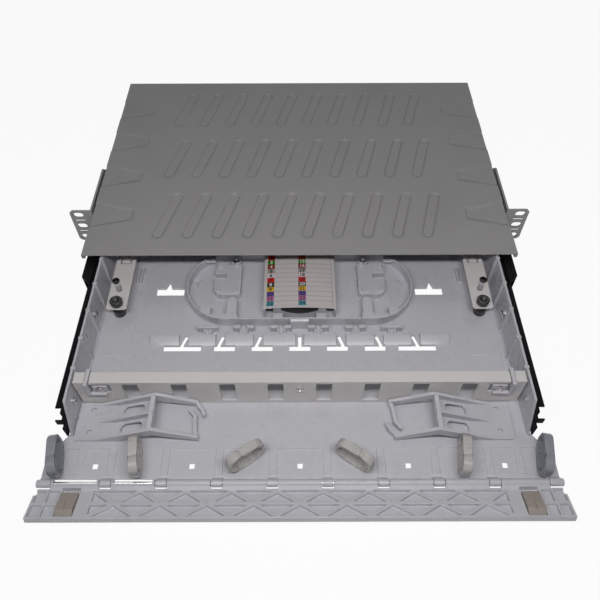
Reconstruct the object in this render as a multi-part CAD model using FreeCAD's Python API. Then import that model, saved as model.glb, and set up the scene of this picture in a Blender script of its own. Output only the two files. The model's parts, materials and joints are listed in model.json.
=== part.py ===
import FreeCAD, Part
import math
import os

# Slide-out fibre termination drawer for a 19-inch rack, one unit high, drawn out with its flap open.
# X runs to the right, Y to the back and Z up. The origin is the centre of the rack holes on the
# plane where the ears meet the rack posts. All lengths are in millimetres.

os.makedirs("parts", exist_ok=True)
V = FreeCAD.Vector

# Rack ears
EAR_HEIGHT = 43.6
EAR_SHEET = 2.0
EAR_CHAMFER = 3.0
HOLE_SPAN = 465.1
EAR_EDGE = 8.75
EAR_INSET = 17.55
HOLE_PITCH = 15.875
EAR_HOLE_LENGTH = 10.4
EAR_HOLE_WIDTH = 6.8
EAR_SLIT_LENGTH = 11.0
EAR_SLIT_WIDTH = 2.4
BRACKET_DEPTH = 73.5
BRACKET_TAPER = 9.0
BRACKET_OFFSET = 2.4
BRACKET_PAD_RADIUS = 8.5
BRACKET_SLOT_LENGTH = 11.0
BRACKET_SCREW_Y = (20.0, 50.0)

# Housing sheet
HEIGHT = 44.0
COVER_DEPTH = 292.0
COVER_OVERHANG = 63.5
COVER_SHEET = 1.2
COVER_LIP = 5.0
COVER_RETURN = 3.2
WALL_SETBACK = 41.5
BEAD_DEPTH = 1.0
BEAD_SPILL = 0.3
BEAD_LENGTH = 66.0
BEAD_WIDTH = 11.0
BEAD_SLANT = 14.7
BEAD_PITCH = 30.4
BEAD_SIDE_GAP = 20.0
BEAD_FACETS = 5
BEAD_ROW_PITCH = 90.4
BEAD_ROWS = 3
EDGE_BEAD_LENGTH = 42.0
EDGE_BEAD_BASE = 34.0
EDGE_BEAD_TIP = 15.0
EDGE_BEAD_PITCH = 59.7
EDGE_BEAD_COUNT = 4

# Telescopic slides
SLIDE_SHEET = 1.5
SLIDE_GAP = 0.3
SLIDE_HEIGHT = 34.0
SLIDE_MID_Z = -1.5
OUTER_SLIDE_LENGTH = 240.0
MIDDLE_SLIDE_OUT = 29.0
MIDDLE_SLIDE_LENGTH = 180.0
OUTER_FLANGE = 10.0
MIDDLE_FLANGE = 9.5
INNER_FLANGE = 6.6
INNER_SLIDE_NOSE = 13.0
NOSE_STEP = 4.0
NOSE_NOTCH = 8.0
NOSE_RISE = 6.5
SLIDE_SCREW_FRONT = 7.0
SLIDE_SCREW_MID = 160.0
SLIDE_SCREW_BACK = 20.0
SLIDE_END_GAP = 1.0

# Drawer tray
DRAWER_OUT = 214.8
TRAY_LENGTH = 287.0
SLIDE_SPACE = 17.2
TRAY_WALL = 2.2
TRAY_FLOOR = 2.4
TRAY_WALL_HEIGHT = 38.5
WALL_NOSE_TOP = 58.0
WALL_NOSE_FOOT = 42.0
WALL_RIB_PITCH = 31.2
WALL_RIB_WIDTH = 3.0
WALL_RIB_PROUD = 1.8
WALL_RIB_CROWN = 1.6
SHELF_STEP = 31.5
SHELF_FRONT = 5.0
SHELF_DROP = 1.0
SHELF_FLARE_BACK = 47.0
SHELF_FLARE_FRONT = 24.0
RIDGE_WIDTH = 6.5
RIDGE_END = 8.5
OUTER_RIDGE_IN = 30.0
SPARE_HOLE = 4.4
ENTRY_WIDTH = 26.0
ENTRY_SILL = 7.0
ENTRY_IN = 29.6
COVE_RADIUS = 7.0
COVE_SINK = 0.5
COVE_GAP = 0.5
PLINTH_WIDTH = 34.6
PLINTH_SETBACK = 124.5
PLINTH_HEIGHT = 0.4
RACEWAY_IN = 30.5
RACEWAY_SETBACK = 212.0
RACEWAY_LENGTH = 18.0
RACEWAY_WALL = 1.6
RACEWAY_GAP = 1.8
RACEWAY_HEIGHT = 4.0
ARROW_X = 132.0
ARROW_SETBACK = 201.2
ARROW_LENGTH = 28.0
ARROW_WIDTH = 8.5
ARROW_POINT = 8.0
ARROW_POINT_X = 1.9
ARROW_POINT_HALF = 3.0

# Hinge and flap
HINGE_RISE = 5.5
ROD_RADIUS = 1.6
ROD_FIT = 0.05
ROD_END_GAP = 1.0
KNUCKLE_RADIUS = 3.3
KNUCKLE_WIDTH = 9.0
END_KNUCKLE = 11.5
KNUCKLE_PITCH = 45.4
KNUCKLE_GAP = 0.4
FLAP_REACH = 32.0
FLAP_ROOT = 4.0
FLAP_TILT = 19.0
FLAP_SINK = 1.5
FLAP_THICKNESS = 5.5
FLAP_SKIN = 2.6
FLAP_RIM = 2.0
FLAP_RIB = 3.0
FLAP_CELL = 37.0
FLAP_PLATFORM = 8.0
FLAP_CORNER = 6.0
FLAP_CORNER_IN = 1.5
LEAF_REACH = 2.0
LEAF_RISE = 1.8
LEAF_DROP = 2.5
BARE_ROD_CUT = 1.8
BARE_ROD_MARGIN = 2.0
BARE_ROD_BAYS = 2
LATCH_IN = 29.7
LATCH_WIDTH = 14.2
LATCH_LENGTH = 21.0
LATCH_PROUD = 2.6
LATCH_STEP = 1.0
LATCH_BEVEL = 4.2
LATCH_GAP = 0.35
LATCH_TRAVEL = 4.0
LATCH_MID = 12.0
LATCH_GROOVE = 0.8
END_RIB_IN = 11.0

# Cord rings on the front shelf
RING_LENGTH = 34.0
RING_HEIGHT = 24.5
RING_WIDTH = 7.5
RING_WALL = 3.0
RING_CORNER = 5.0
RING_FOOT = 8.0
RING_SETBACK = 19.8
RING_PEG_RADIUS = 3.0
RING_PEG_FIT = 0.05
RING_FLOAT = 0.1
RING_PEG_GAP = 0.2
RING_SLIT = 0.6
RING_SLIT_LEAN = 4.0
RING_SLIT_SHIFT = 4.0
SPARE_HOLE_SHIFT = 3.5
OUTER_RING_IN = 12.5
RING_TURNS = (-10.0, -8.0, 55.0)

# Adapter panel
PANEL_SETBACK = 74.8
PANEL_SHEET = 1.5
PANEL_HEIGHT = 36.6
PANEL_FLANGE = 10.6
PANEL_END_GAP = 0.4
WINDOW_WIDTH = 13.6
WINDOW_HEIGHT = 28.0
WINDOW_PITCH = 41.7
WINDOW_END_GAP = 4.0
WINDOW_MID_Z = -0.5
END_WINDOW_IN = 23.6
END_WINDOW_WIDTH = 18.0
END_WINDOW_HEIGHT = 13.0
END_BOSS_WIDTH = 13.0
END_BOSS_HEIGHT = 8.0
END_BOSS_Z = 7.0
END_BOSS_PROUD = 0.3
PANEL_SCREW_Z = 5.0
PANEL_SCREW_LENGTH = 8.0
POST_SIZE = 9.0
POST_TOP_GAP = 4.5
HOOK_IN = 13.6
HOOK_WIDTH = 3.4
HOOK_GAP = 0.6
HOOK_SHEET = 2.8
HOOK_FOOT_Z = 3.0
HOOK_BACK = 13.5
HOOK_PROUD = 1.2
HOOK_REACH = 17.0

# Cord guides
GUIDE_SETBACK = 38.1
GUIDE_WIDTH = 35.9
GUIDE_IN = {-1: 1.6, 1: 10.5}
GUIDE_BASE = 38.0
GUIDE_PLATE = 2.5
GUIDE_RIDGE = 69.0
GUIDE_LENGTH = 107.0
GUIDE_FRONT_LENGTH = 104.0
GUIDE_RISE = 21.5
GUIDE_TOE = 6.5
GUIDE_ARM = 3.0
GUIDE_DEPTH = 9.5
GUIDE_LONG_HOOK = ((103.5, 8.0), (102.5, 21.0), (98.0, 26.5))
GUIDE_SHORT_HOOK = ((108.0, 9.0), (110.0, 13.5))
GUIDE_WEB = 2.2
GUIDE_WINDOW_LENGTH = 20.0
GUIDE_WINDOW_WIDTH = 9.0
GUIDE_WINDOW_IN = 49.0
GUIDE_BAR = 4.0
GUIDE_BAR_DROP = 1.2
GUIDE_BASE_BEVEL = 2.0
GUIDE_ROOT = 19.0
GUIDE_HEEL = 34.0
GUIDE_LIFT = 0.3
GUIDE_PIN_HEIGHT = 1.5
GUIDE_PIN_RADIUS = 2.4
GUIDE_PIN_FIT = 0.1
GUIDE_PIN_IN = 12.0
GUIDE_PIN_SPREAD = 21.0

# Splice cassette and what it carries
CASSETTE_SETBACK = 158.6
CASSETTE_WIDTH = 227.0
CASSETTE_DEPTH = 86.0
CASSETTE_WALL = 1.6
CASSETTE_FLOOR = 1.5
CASSETTE_HEIGHT = 12.5
CORE_INNER = 59.5
CORE_OUTER = 86.6
CORE_FRONT = 31.7
CORE_BACK = 14.3
CORE_ROUND = 9.0
CORE_CORNER = 3.0
CORE_POSTS = ((81.7, 38.5), (64.9, 36.5), (82.5, CASSETTE_DEPTH - 17.0), (64.0, CASSETTE_DEPTH - 15.5))
CORE_POST_RADIUS = 2.0
CORE_POST_PROUD = 2.5
CORE_HEIGHT = 8.0
CORE_SLOT_LENGTH = 12.0
CORE_SLOT_WIDTH = 7.0
CORE_SLOT_IN = 55.6
END_SLIT = ((109.5, 54.2), (103.7, 54.2))
END_SLIT_FORKS = ((100.1, 57.2), (104.7, 48.3))
SPLICE_HOLE_X = 48.5
SPLICE_HOLE_IN = 52.5
SPLICE_HOLE_RADIUS = 1.8
RIM_TONGUE_X = 66.5
RIM_TONGUE_WIDTH = 9.6
RIM_TONGUE_REACH = 26.7
LEDGE_X = (60.4, 86.0)
LEDGE_DEPTH = 4.6
BASE_GROOVE_HALF = 70.0
BASE_GROOVE_DEPTH = 0.8
BASE_GROOVE_HEIGHT = 1.2
RIM_TAB_X = (21.0, 92.0)
END_TAB_REACH = 7.5
RIM_TAB_LENGTH = 10.0
RIM_TAB_REACH = 6.0
SLIT = 1.0
CASSETTE_SCREW_X = 66.3
CASSETTE_SCREW_IN = 7.8
CASSETTE_BOSS_RADIUS = 5.0
CASSETTE_BOSS = 5.0
CARD_WIDTH = 71.0
CARD_LENGTH = 75.5
CARD_SHEET = 0.6
CARD_ARCH = 2.4
CARD_SEAT = 16.0
CARD_RAIL = 2.4
CARD_BACK = 3.25
HOLDER_WIDTH = 52.0
HOLDER_LENGTH = 67.0
HOLDER_GROOVE = 2.4
HOLDER_GROOVES = 12
HOLDER_GAP = 0.2
HOLDER_SETBACK = 1.5
HOLDER_NOSE_HALF = 18.0
HOLDER_NOSE = 4.0
HOLDER_NOSE_DROP = 3.0
LUG_WIDTH = 18.0
LUG_DEPTH = 4.0
LUG_GAP = 0.3
LUG_NOSE = 1.5

# Fibre clip bar in front of the cassette
CLIP_PITCH = 36.0
CLIP_WIDTH = 20.0
CLIP_DEPTH = 3.5
CLIP_HEIGHT = 8.0
CLIP_NOTCH = 6.0
CLIP_NECK = 7.7
CLIP_NECK_HEIGHT = 5.0
CLIP_NECK_GROOVE = 4.4
CLIP_SETBACK = 151.0
END_CLIP_X = 89.0
PAD_DEPTH = 12.7
PAD_HEIGHT = 4.6
PAD_RAMP = 9.1
PAD_SPANS = ((4.0, 35.0), (44.6, 71.5), (80.6, 107.0), (115.6, 143.6))
PAD_SETBACK = 133.8
TIE_SLOT_DEPTH = 5.6
TIE_SLOT_WIDTH = 20.0
TIE_SLIT = 3.2
TIE_LEAN = 4.5
TIE_SETBACK = 135.4
END_TIE_X = 112.3
END_TIE_WIDTH = 36.0

# Corner plates for the incoming cables
PLATE_SHEET = 1.5
PLATE_WIDTH = 20.0
PLATE_IN = 17.1
PLATE_FRONT = 168.0
PLATE_BACK = 276.0
PLATE_RISE = 14.0
KNOB_RADIUS = 6.0
KNOB_HEIGHT = 6.0
KNOB_IN = 6.8
PLATE_SLOT_IN = 29.3
PLATE_SLOT_LENGTH = 17.0
PLATE_SLOT_WIDTH = 5.4
PLATE_SLOT_SLANT = 24.0
PLATE_SLOT_SHIFT = 2.9
PLATE_SCREW_IN = 35.0
PLATE_SCREW_SHIFT = 6.0
PLATE_BEVEL = 2.0
PLATE_POST_RADIUS = 4.8
KNOB_BEVEL = 1.0
KNOB_SIDES = 24
TONGUE_IN = 58.0
TONGUE_WIDTH = 11.0
TONGUE_LENGTH = 16.0
TONGUE_SLIT = 1.2

# Screws
SCREW_RADIUS = 1.9
SCREW_FIT = 0.1
SCREW_HEAD_RADIUS = 3.6
SCREW_HEAD = 2.0
SCREW_SIDES = 8

# Levels and lines worked out from the sizes above
TOP = HEIGHT / 2
BOTTOM = -HEIGHT / 2
FLOOR = BOTTOM + TRAY_FLOOR
SHELF_TOP = FLOOR - SHELF_DROP
COVER_FRONT = -COVER_OVERHANG
COVER_BACK = COVER_FRONT + COVER_DEPTH
WALL_START = COVER_FRONT + WALL_SETBACK
COVER_HALF = HOLE_SPAN / 2 - EAR_INSET
TRAY_HALF = COVER_HALF - SLIDE_SPACE
TRAY_INNER = TRAY_HALF - TRAY_WALL
SHELF_HALF = COVER_HALF
FLAP_HALF = COVER_HALF
OUTER_RIDGE_X = SHELF_HALF - OUTER_RIDGE_IN
OUTER_RING_X = SHELF_HALF - OUTER_RING_IN
LATCH_X = FLAP_HALF - LATCH_IN
FLAP_CELLS = int(2 * (LATCH_X - LATCH_WIDTH / 2 - LATCH_GAP - FLAP_PLATFORM) / FLAP_CELL)
ENTRY_X = TRAY_INNER - ENTRY_IN
PLINTH_X = TRAY_INNER - PLINTH_WIDTH
RACEWAY_X = TRAY_INNER - RACEWAY_IN
END_WINDOW_X = TRAY_INNER - END_WINDOW_IN
HOOK_X = TRAY_INNER - HOOK_IN
PLATE_X = TRAY_INNER - PLATE_IN
WINDOW_ROOM = END_WINDOW_X - END_WINDOW_WIDTH / 2 - WINDOW_END_GAP - WINDOW_WIDTH / 2
WINDOWS = 2 * int(WINDOW_ROOM / WINDOW_PITCH + 0.5)
BEAD_COLUMNS = 2 * int((COVER_HALF - EDGE_BEAD_LENGTH - BEAD_SIDE_GAP) / BEAD_PITCH)
HINGE_Y = COVER_FRONT - DRAWER_OUT
HINGE_Z = BOTTOM + HINGE_RISE
TRAY_BACK = HINGE_Y + TRAY_LENGTH
WALL_TOP = BOTTOM + TRAY_WALL_HEIGHT
STEP_Y = HINGE_Y + SHELF_STEP
SHELF_EDGE = HINGE_Y + SHELF_FRONT
PANEL_Y = HINGE_Y + PANEL_SETBACK
PANEL_TOP = FLOOR + PANEL_HEIGHT
GUIDE_FRONT = HINGE_Y + GUIDE_SETBACK
CASSETTE_FRONT = HINGE_Y + CASSETTE_SETBACK
CASSETTE_MID = CASSETTE_FRONT + CASSETTE_DEPTH / 2
CLIP_FRONT = HINGE_Y + CLIP_SETBACK
PAD_FRONT = HINGE_Y + PAD_SETBACK
RING_Y = HINGE_Y + RING_SETBACK
PLATE_Z = FLOOR + PLATE_RISE
KNUCKLE_X = tuple((k + 0.5) * KNUCKLE_PITCH for k in range(4))
BAY_CENTRES = tuple(k * KNUCKLE_PITCH for k in range(1, 4))
RING_X = (OUTER_RING_X, BAY_CENTRES[2], BAY_CENTRES[0])
SPARE_HOLE_X = (0.0, BAY_CENTRES[1], (KNUCKLE_X[3] + OUTER_RIDGE_X) / 2)
SIDES = (-1, 1)
ROUND_SIDES = 12


# Plain solids

def box(x0, x1, y0, y1, z0, z1):
    low = V(min(x0, x1), min(y0, y1), min(z0, z1))
    return Part.makeBox(abs(x1 - x0), abs(y1 - y0), abs(z1 - z0), low)


def polygon(points):
    return Part.Face(Part.makePolygon(points + points[:1]))


def prism_xy(points, z0, z1):
    return polygon([V(x, y, z0) for x, y in points]).extrude(V(0, 0, z1 - z0))


def prism_yz(points, x0, x1):
    return polygon([V(x0, y, z) for y, z in points]).extrude(V(x1 - x0, 0, 0))


def prism_xz(points, y0, y1):
    return polygon([V(x, y0, z) for x, z in points]).extrude(V(0, y1 - y0, 0))


def strip_xy(start, end, width, z0, z1):
    """A straight bar of the given width from one point to another."""
    run = V(end[0] - start[0], end[1] - start[1], 0)
    across = V(-run.y, run.x, 0).normalize() * (width / 2)
    return prism_xy([(start[0] + across.x, start[1] + across.y), (end[0] + across.x, end[1] + across.y),
                     (end[0] - across.x, end[1] - across.y), (start[0] - across.x, start[1] - across.y)],
                    z0, z1)


def rod(radius, start, end):
    run = V(*end) - V(*start)
    return Part.makeCylinder(radius, run.Length, V(*start), run)


def facet_rod(radius, start, end, sides):
    """A rod with flat sides, its corners on the given radius."""
    run = V(*end) - V(*start)
    corners = [V(radius * math.cos(2 * math.pi * k / sides), radius * math.sin(2 * math.pi * k / sides), 0)
               for k in range(sides)]
    shape = polygon(corners).extrude(V(0, 0, run.Length))
    shape.Placement = FreeCAD.Placement(V(*start), FreeCAD.Rotation(V(0, 0, 1), run))
    return shape


def obround_wire(length, width, angle, centre):
    """A slot outline whose long axis lies along Y before it is turned by angle about Z."""
    r = width / 2
    h = length / 2 - r
    right = Part.LineSegment(V(r, -h, 0), V(r, h, 0)).toShape()
    far = Part.Arc(V(r, h, 0), V(0, h + r, 0), V(-r, h, 0)).toShape()
    left = Part.LineSegment(V(-r, h, 0), V(-r, -h, 0)).toShape()
    near = Part.Arc(V(-r, -h, 0), V(0, -h - r, 0), V(r, -h, 0)).toShape()
    wire = Part.Wire([right, far, left, near])
    wire.rotate(V(0, 0, 0), V(0, 0, 1), angle)
    wire.translate(V(*centre))
    return wire


def obround(length, width, angle, x, y, z0, z1):
    return Part.Face(obround_wire(length, width, angle, (x, y, z0))).extrude(V(0, 0, z1 - z0))


def obround_along_x(length, width, x, z, y0, y1):
    """A slot through a plate that faces Y, with its long axis along X."""
    shape = obround(length, width, 90, 0, 0, 0, y1 - y0)
    shape.rotate(V(0, 0, 0), V(1, 0, 0), -90)
    shape.translate(V(x, y0, z))
    return shape


def rounded_plate(width, depth, radius, y_mid, z0, z1):
    """A plate about x = 0 whose four corners are round."""
    plate = box(-width / 2, width / 2, y_mid - depth / 2, y_mid + depth / 2, z0, z1)
    upright = [e for e in plate.Edges if abs(e.tangentAt(e.FirstParameter).z) > 0.9]
    return plate.makeFillet(min(radius, depth / 2 - 0.01), upright)


def screw_hole(start, end):
    return facet_rod(SCREW_RADIUS + SCREW_FIT, start, end, SCREW_SIDES)


def fused(shapes):
    return shapes[0].multiFuse(shapes[1:]).removeSplitter() if len(shapes) > 1 else shapes[0]


def mirrored(shape):
    return shape.mirror(V(0, 0, 0), V(1, 0, 0))


def export(name, shape):
    shape.exportStep("parts/" + name + ".step")


# Housing

def half_round(radius, x, y, facing):
    """Points of a half circle in a few facets, about the way it faces in degrees."""
    turns = [math.radians(facing - 90 + 180 * k / BEAD_FACETS) for k in range(BEAD_FACETS + 1)]
    return [V(x + radius * math.cos(a), y + radius * math.sin(a), 0) for a in turns]


def bead_face(grow, x, y, z):
    """A slanted bead's outline with faceted round ends."""
    r = BEAD_WIDTH / 2 + grow
    h = BEAD_LENGTH / 2 - BEAD_WIDTH / 2
    face = polygon(half_round(r, 0, h, 90) + half_round(r, 0, -h, 270))
    face.rotate(V(0, 0, 0), V(0, 0, 1), -BEAD_SLANT)
    face.translate(V(x, y, z))
    return face


def edge_bead_face(grow, side, y, z):
    """A tongue outline that is open at the cover's edge and narrows inward to a round tip."""
    r = EDGE_BEAD_TIP / 2 + grow
    shoulder = COVER_HALF - EDGE_BEAD_LENGTH + EDGE_BEAD_TIP / 2
    base = EDGE_BEAD_BASE / 2 + grow
    face = polygon([V(COVER_HALF, base, 0)] + half_round(r, shoulder, 0, 180) + [V(COVER_HALF, -base, 0)])
    if side < 0:
        face = mirrored(face)
    face.translate(V(0, y, z))
    return face


def sunk_tool(face):
    """A cutter whose foot is the face at the bead's bottom and whose walls splay out at 45 degrees."""
    tool = face.extrude(V(0, 0, 2 * BEAD_DEPTH))
    foot = [e for e in tool.Edges
            if e.BoundBox.ZMax < TOP - BEAD_DEPTH / 2 and abs(e.CenterOfMass.x) < COVER_HALF - BEAD_DEPTH / 2]
    return tool.makeChamfer(BEAD_DEPTH + BEAD_SPILL, foot)


def cover_beads():
    """Pressed beads as pairs of solids: the hollow above the sheet and the swelling under it."""
    hollows = []
    swellings = []
    under = TOP - COVER_SHEET
    sunk = TOP - BEAD_DEPTH
    swell = V(0, 0, BEAD_DEPTH * 5 / 4)
    mid_y = (COVER_FRONT + COVER_BACK) / 2
    cutter = sunk_tool(bead_face(BEAD_SPILL, 0, 0, sunk))
    for row in range(BEAD_ROWS):
        y = mid_y + (row - (BEAD_ROWS - 1) / 2) * BEAD_ROW_PITCH
        for column in range(BEAD_COLUMNS):
            x = (column - (BEAD_COLUMNS - 1) / 2) * BEAD_PITCH
            hollows.append(cutter.translated(V(x, y, 0)))
            swellings.append(bead_face(0, x, y, under - BEAD_DEPTH).extrude(swell))
    for index in range(EDGE_BEAD_COUNT):
        y = mid_y + (index - (EDGE_BEAD_COUNT - 1) / 2) * EDGE_BEAD_PITCH
        for side in SIDES:
            hollows.append(sunk_tool(edge_bead_face(BEAD_SPILL, side, y, sunk)))
            swellings.append(edge_bead_face(0, side, y, under - BEAD_DEPTH).extrude(swell))
    return hollows, swellings


def top_cover():
    under = TOP - COVER_SHEET
    lip = TOP - COVER_LIP
    pieces = [box(-COVER_HALF, COVER_HALF, COVER_FRONT, COVER_BACK, under, TOP)]
    pieces.append(box(-COVER_HALF, COVER_HALF, COVER_BACK - COVER_SHEET, COVER_BACK, lip, TOP))
    for side in SIDES:
        outer = side * COVER_HALF
        inner = side * (COVER_HALF - COVER_SHEET)
        hem = side * (COVER_HALF - COVER_RETURN)
        pieces.append(box(outer, inner, COVER_FRONT, WALL_START, lip, TOP))
        pieces.append(box(outer, hem, COVER_FRONT, WALL_START, lip, lip + COVER_SHEET))
        pieces.append(box(outer, inner, WALL_START, COVER_BACK, BOTTOM, TOP))
    hollows, swellings = cover_beads()
    sheet = fused(pieces + swellings).cut(Part.makeCompound(hollows))
    for side in SIDES:
        for y in BRACKET_SCREW_Y:
            x = side * COVER_HALF
            sheet = sheet.cut(screw_hole((x - 2 * COVER_SHEET, y, 0), (x + 2 * COVER_SHEET, y, 0)))
    return sheet.removeSplitter()


def rack_bracket():
    """The right bracket: a side plate with pads and slots, bent out to the drilled ear."""
    half = EAR_HEIGHT / 2
    inner = COVER_HALF + BRACKET_OFFSET
    outer = inner + EAR_SHEET
    back = BRACKET_DEPTH
    side_plate = prism_yz([(-EAR_SHEET, -half), (back - 2 * BRACKET_TAPER, -half),
                           (back, -half + 2 * BRACKET_TAPER), (back, half - BRACKET_TAPER),
                           (back - BRACKET_TAPER, half), (-EAR_SHEET, half)], inner, outer)
    edge = HOLE_SPAN / 2 + EAR_EDGE
    ear = prism_xz([(inner, -half), (edge - EAR_CHAMFER, -half), (edge, -half + EAR_CHAMFER),
                    (edge, half - EAR_CHAMFER), (edge - EAR_CHAMFER, half), (inner, half)],
                   -EAR_SHEET, 0)
    pads = [facet_rod(BRACKET_PAD_RADIUS, (COVER_HALF, y, 0), (inner + EAR_SHEET / 2, y, 0), ROUND_SIDES)
            for y in BRACKET_SCREW_Y]
    shape = fused([side_plate, ear] + pads)
    cuts = []
    slot = SCREW_RADIUS + SCREW_FIT
    for y in BRACKET_SCREW_Y:
        cuts.append(box(COVER_HALF - 1, outer + 1, y - BRACKET_SLOT_LENGTH / 2, y + BRACKET_SLOT_LENGTH / 2,
                        -slot, slot))
    for k in (-1, 0, 1):
        cuts.append(obround_along_x(EAR_HOLE_LENGTH, EAR_HOLE_WIDTH, HOLE_SPAN / 2, k * HOLE_PITCH,
                                    -EAR_SHEET - 1, 1))
    for k in (-0.5, 0.5):
        cuts.append(box((HOLE_SPAN - EAR_SLIT_LENGTH) / 2, (HOLE_SPAN + EAR_SLIT_LENGTH) / 2,
                        -EAR_SHEET - 1, 1,
                        k * HOLE_PITCH - EAR_SLIT_WIDTH / 2, k * HOLE_PITCH + EAR_SLIT_WIDTH / 2))
    return shape.cut(Part.makeCompound(cuts)).removeSplitter()


def headed_screw(seat, run):
    """A flat-headed screw: the head stands on the seat and the shank goes along run."""
    seat = V(*seat)
    run = V(*run)
    way = V(run).normalize()
    head = facet_rod(SCREW_HEAD_RADIUS, seat - way * SCREW_HEAD, seat, SCREW_SIDES)
    shank = facet_rod(SCREW_RADIUS, seat, seat + run, SCREW_SIDES)
    return head.fuse(shank).removeSplitter()


def bracket_screws():
    seat = COVER_HALF + BRACKET_OFFSET + EAR_SHEET
    depth = BRACKET_OFFSET + EAR_SHEET + COVER_SHEET
    return [headed_screw((side * seat, y, 0), (-side * depth, 0, 0))
            for side in SIDES for y in BRACKET_SCREW_Y]


# Slides, drawn for the right side

def channel(web_outer, web_inner, flange_end, height, y0, y1):
    """A channel standing on its side: a web with a flange along its top and its bottom."""
    z0 = SLIDE_MID_Z - height / 2
    z1 = SLIDE_MID_Z + height / 2
    web = box(web_outer, web_inner, y0, y1, z0, z1)
    high = box(web_outer, flange_end, y0, y1, z1 - SLIDE_SHEET, z1)
    low = box(web_outer, flange_end, y0, y1, z0, z0 + SLIDE_SHEET)
    return fused([web, high, low])


SLIDE_STEP = SLIDE_SHEET + SLIDE_GAP
OUTER_WEB = COVER_HALF - COVER_SHEET
MIDDLE_WEB = OUTER_WEB - SLIDE_STEP
MIDDLE_HEIGHT = SLIDE_HEIGHT - 2 * SLIDE_STEP
INNER_HEIGHT = MIDDLE_HEIGHT - 2 * SLIDE_STEP
SLIDE_SCREW_Y = (PANEL_Y - SLIDE_SCREW_FRONT, HINGE_Y + SLIDE_SCREW_MID, TRAY_BACK - SLIDE_SCREW_BACK)


def outer_slide():
    y0 = WALL_START + SLIDE_END_GAP
    return channel(OUTER_WEB, OUTER_WEB - SLIDE_SHEET, OUTER_WEB - OUTER_FLANGE, SLIDE_HEIGHT,
                   y0, y0 + OUTER_SLIDE_LENGTH)


def middle_slide():
    y0 = COVER_FRONT - MIDDLE_SLIDE_OUT
    shape = channel(MIDDLE_WEB, MIDDLE_WEB - SLIDE_SHEET, MIDDLE_WEB - MIDDLE_FLANGE, MIDDLE_HEIGHT,
                    y0, y0 + MIDDLE_SLIDE_LENGTH)
    taper = MIDDLE_FLANGE
    corner = prism_xy([(MIDDLE_WEB + 1, y0 - 1), (MIDDLE_WEB - taper, y0 - 1),
                       (MIDDLE_WEB + 1, y0 + taper)],
                      BOTTOM, TOP)
    return shape.cut(corner)


def inner_slide():
    """The member screwed to the tray wall, with a stepped release nose at its front end."""
    y0 = HINGE_Y + WALL_NOSE_FOOT - SLIDE_END_GAP
    y1 = y0 + INNER_SLIDE_NOSE
    root = TRAY_HALF
    tip = root + INNER_FLANGE
    shape = channel(root, root + SLIDE_SHEET, tip, INNER_HEIGHT, y1, TRAY_BACK - SLIDE_END_GAP)
    z1 = SLIDE_MID_Z + INNER_HEIGHT / 2
    z0 = SLIDE_MID_Z - INNER_HEIGHT / 2
    nose = prism_yz([(y0, z0), (y1, z0), (y1, z1), (y0 + NOSE_NOTCH, z1),
                     (y0 + NOSE_NOTCH, z1 - NOSE_RISE),
                     (y0 + NOSE_STEP, z1 - NOSE_RISE), (y0 + NOSE_STEP, z1 - 2 * NOSE_RISE),
                     (y0, z1 - 2 * NOSE_RISE)], root, root + SLIDE_SHEET)
    lever = box(root, tip, y0 + NOSE_STEP, y0 + NOSE_STEP + SLIDE_SHEET, z1 - 2 * NOSE_RISE,
                z1 - NOSE_RISE)
    holes = [screw_hole((root - 1, y, SLIDE_MID_Z), (tip + 1, y,
                                                          SLIDE_MID_Z)) for y in SLIDE_SCREW_Y]
    return fused([shape, nose, lever]).cut(Part.makeCompound(holes))


def slide_screws():
    depth = TRAY_WALL + SLIDE_SHEET
    return [headed_screw((side * TRAY_INNER, y, SLIDE_MID_Z), (side * depth, 0, 0))
            for side in SIDES for y in SLIDE_SCREW_Y]


# Tray

def hinge_knuckle(x, width):
    """A hinge eye with the neck that carries it from the shelf's front edge."""
    eye = facet_rod(KNUCKLE_RADIUS, (x - width / 2, HINGE_Y, HINGE_Z), (x + width / 2, HINGE_Y, HINGE_Z),
                    ROUND_SIDES)
    neck = prism_yz([(SHELF_EDGE + 1.0, BOTTOM), (SHELF_EDGE + 1.0, SHELF_TOP),
                     (HINGE_Y, HINGE_Z + KNUCKLE_RADIUS), (HINGE_Y, HINGE_Z - KNUCKLE_RADIUS),
                     (HINGE_Y + KNUCKLE_RADIUS, BOTTOM)],
                    x - width / 2, x + width / 2)
    return eye.fuse(neck)


def end_knuckle_x(side):
    return side * (SHELF_HALF - END_KNUCKLE / 2)


def all_knuckles():
    inner = [(side * x, KNUCKLE_WIDTH) for side in SIDES for x in KNUCKLE_X]
    ends = [(end_knuckle_x(side), END_KNUCKLE) for side in SIDES]
    return sorted(inner + ends)


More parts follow.
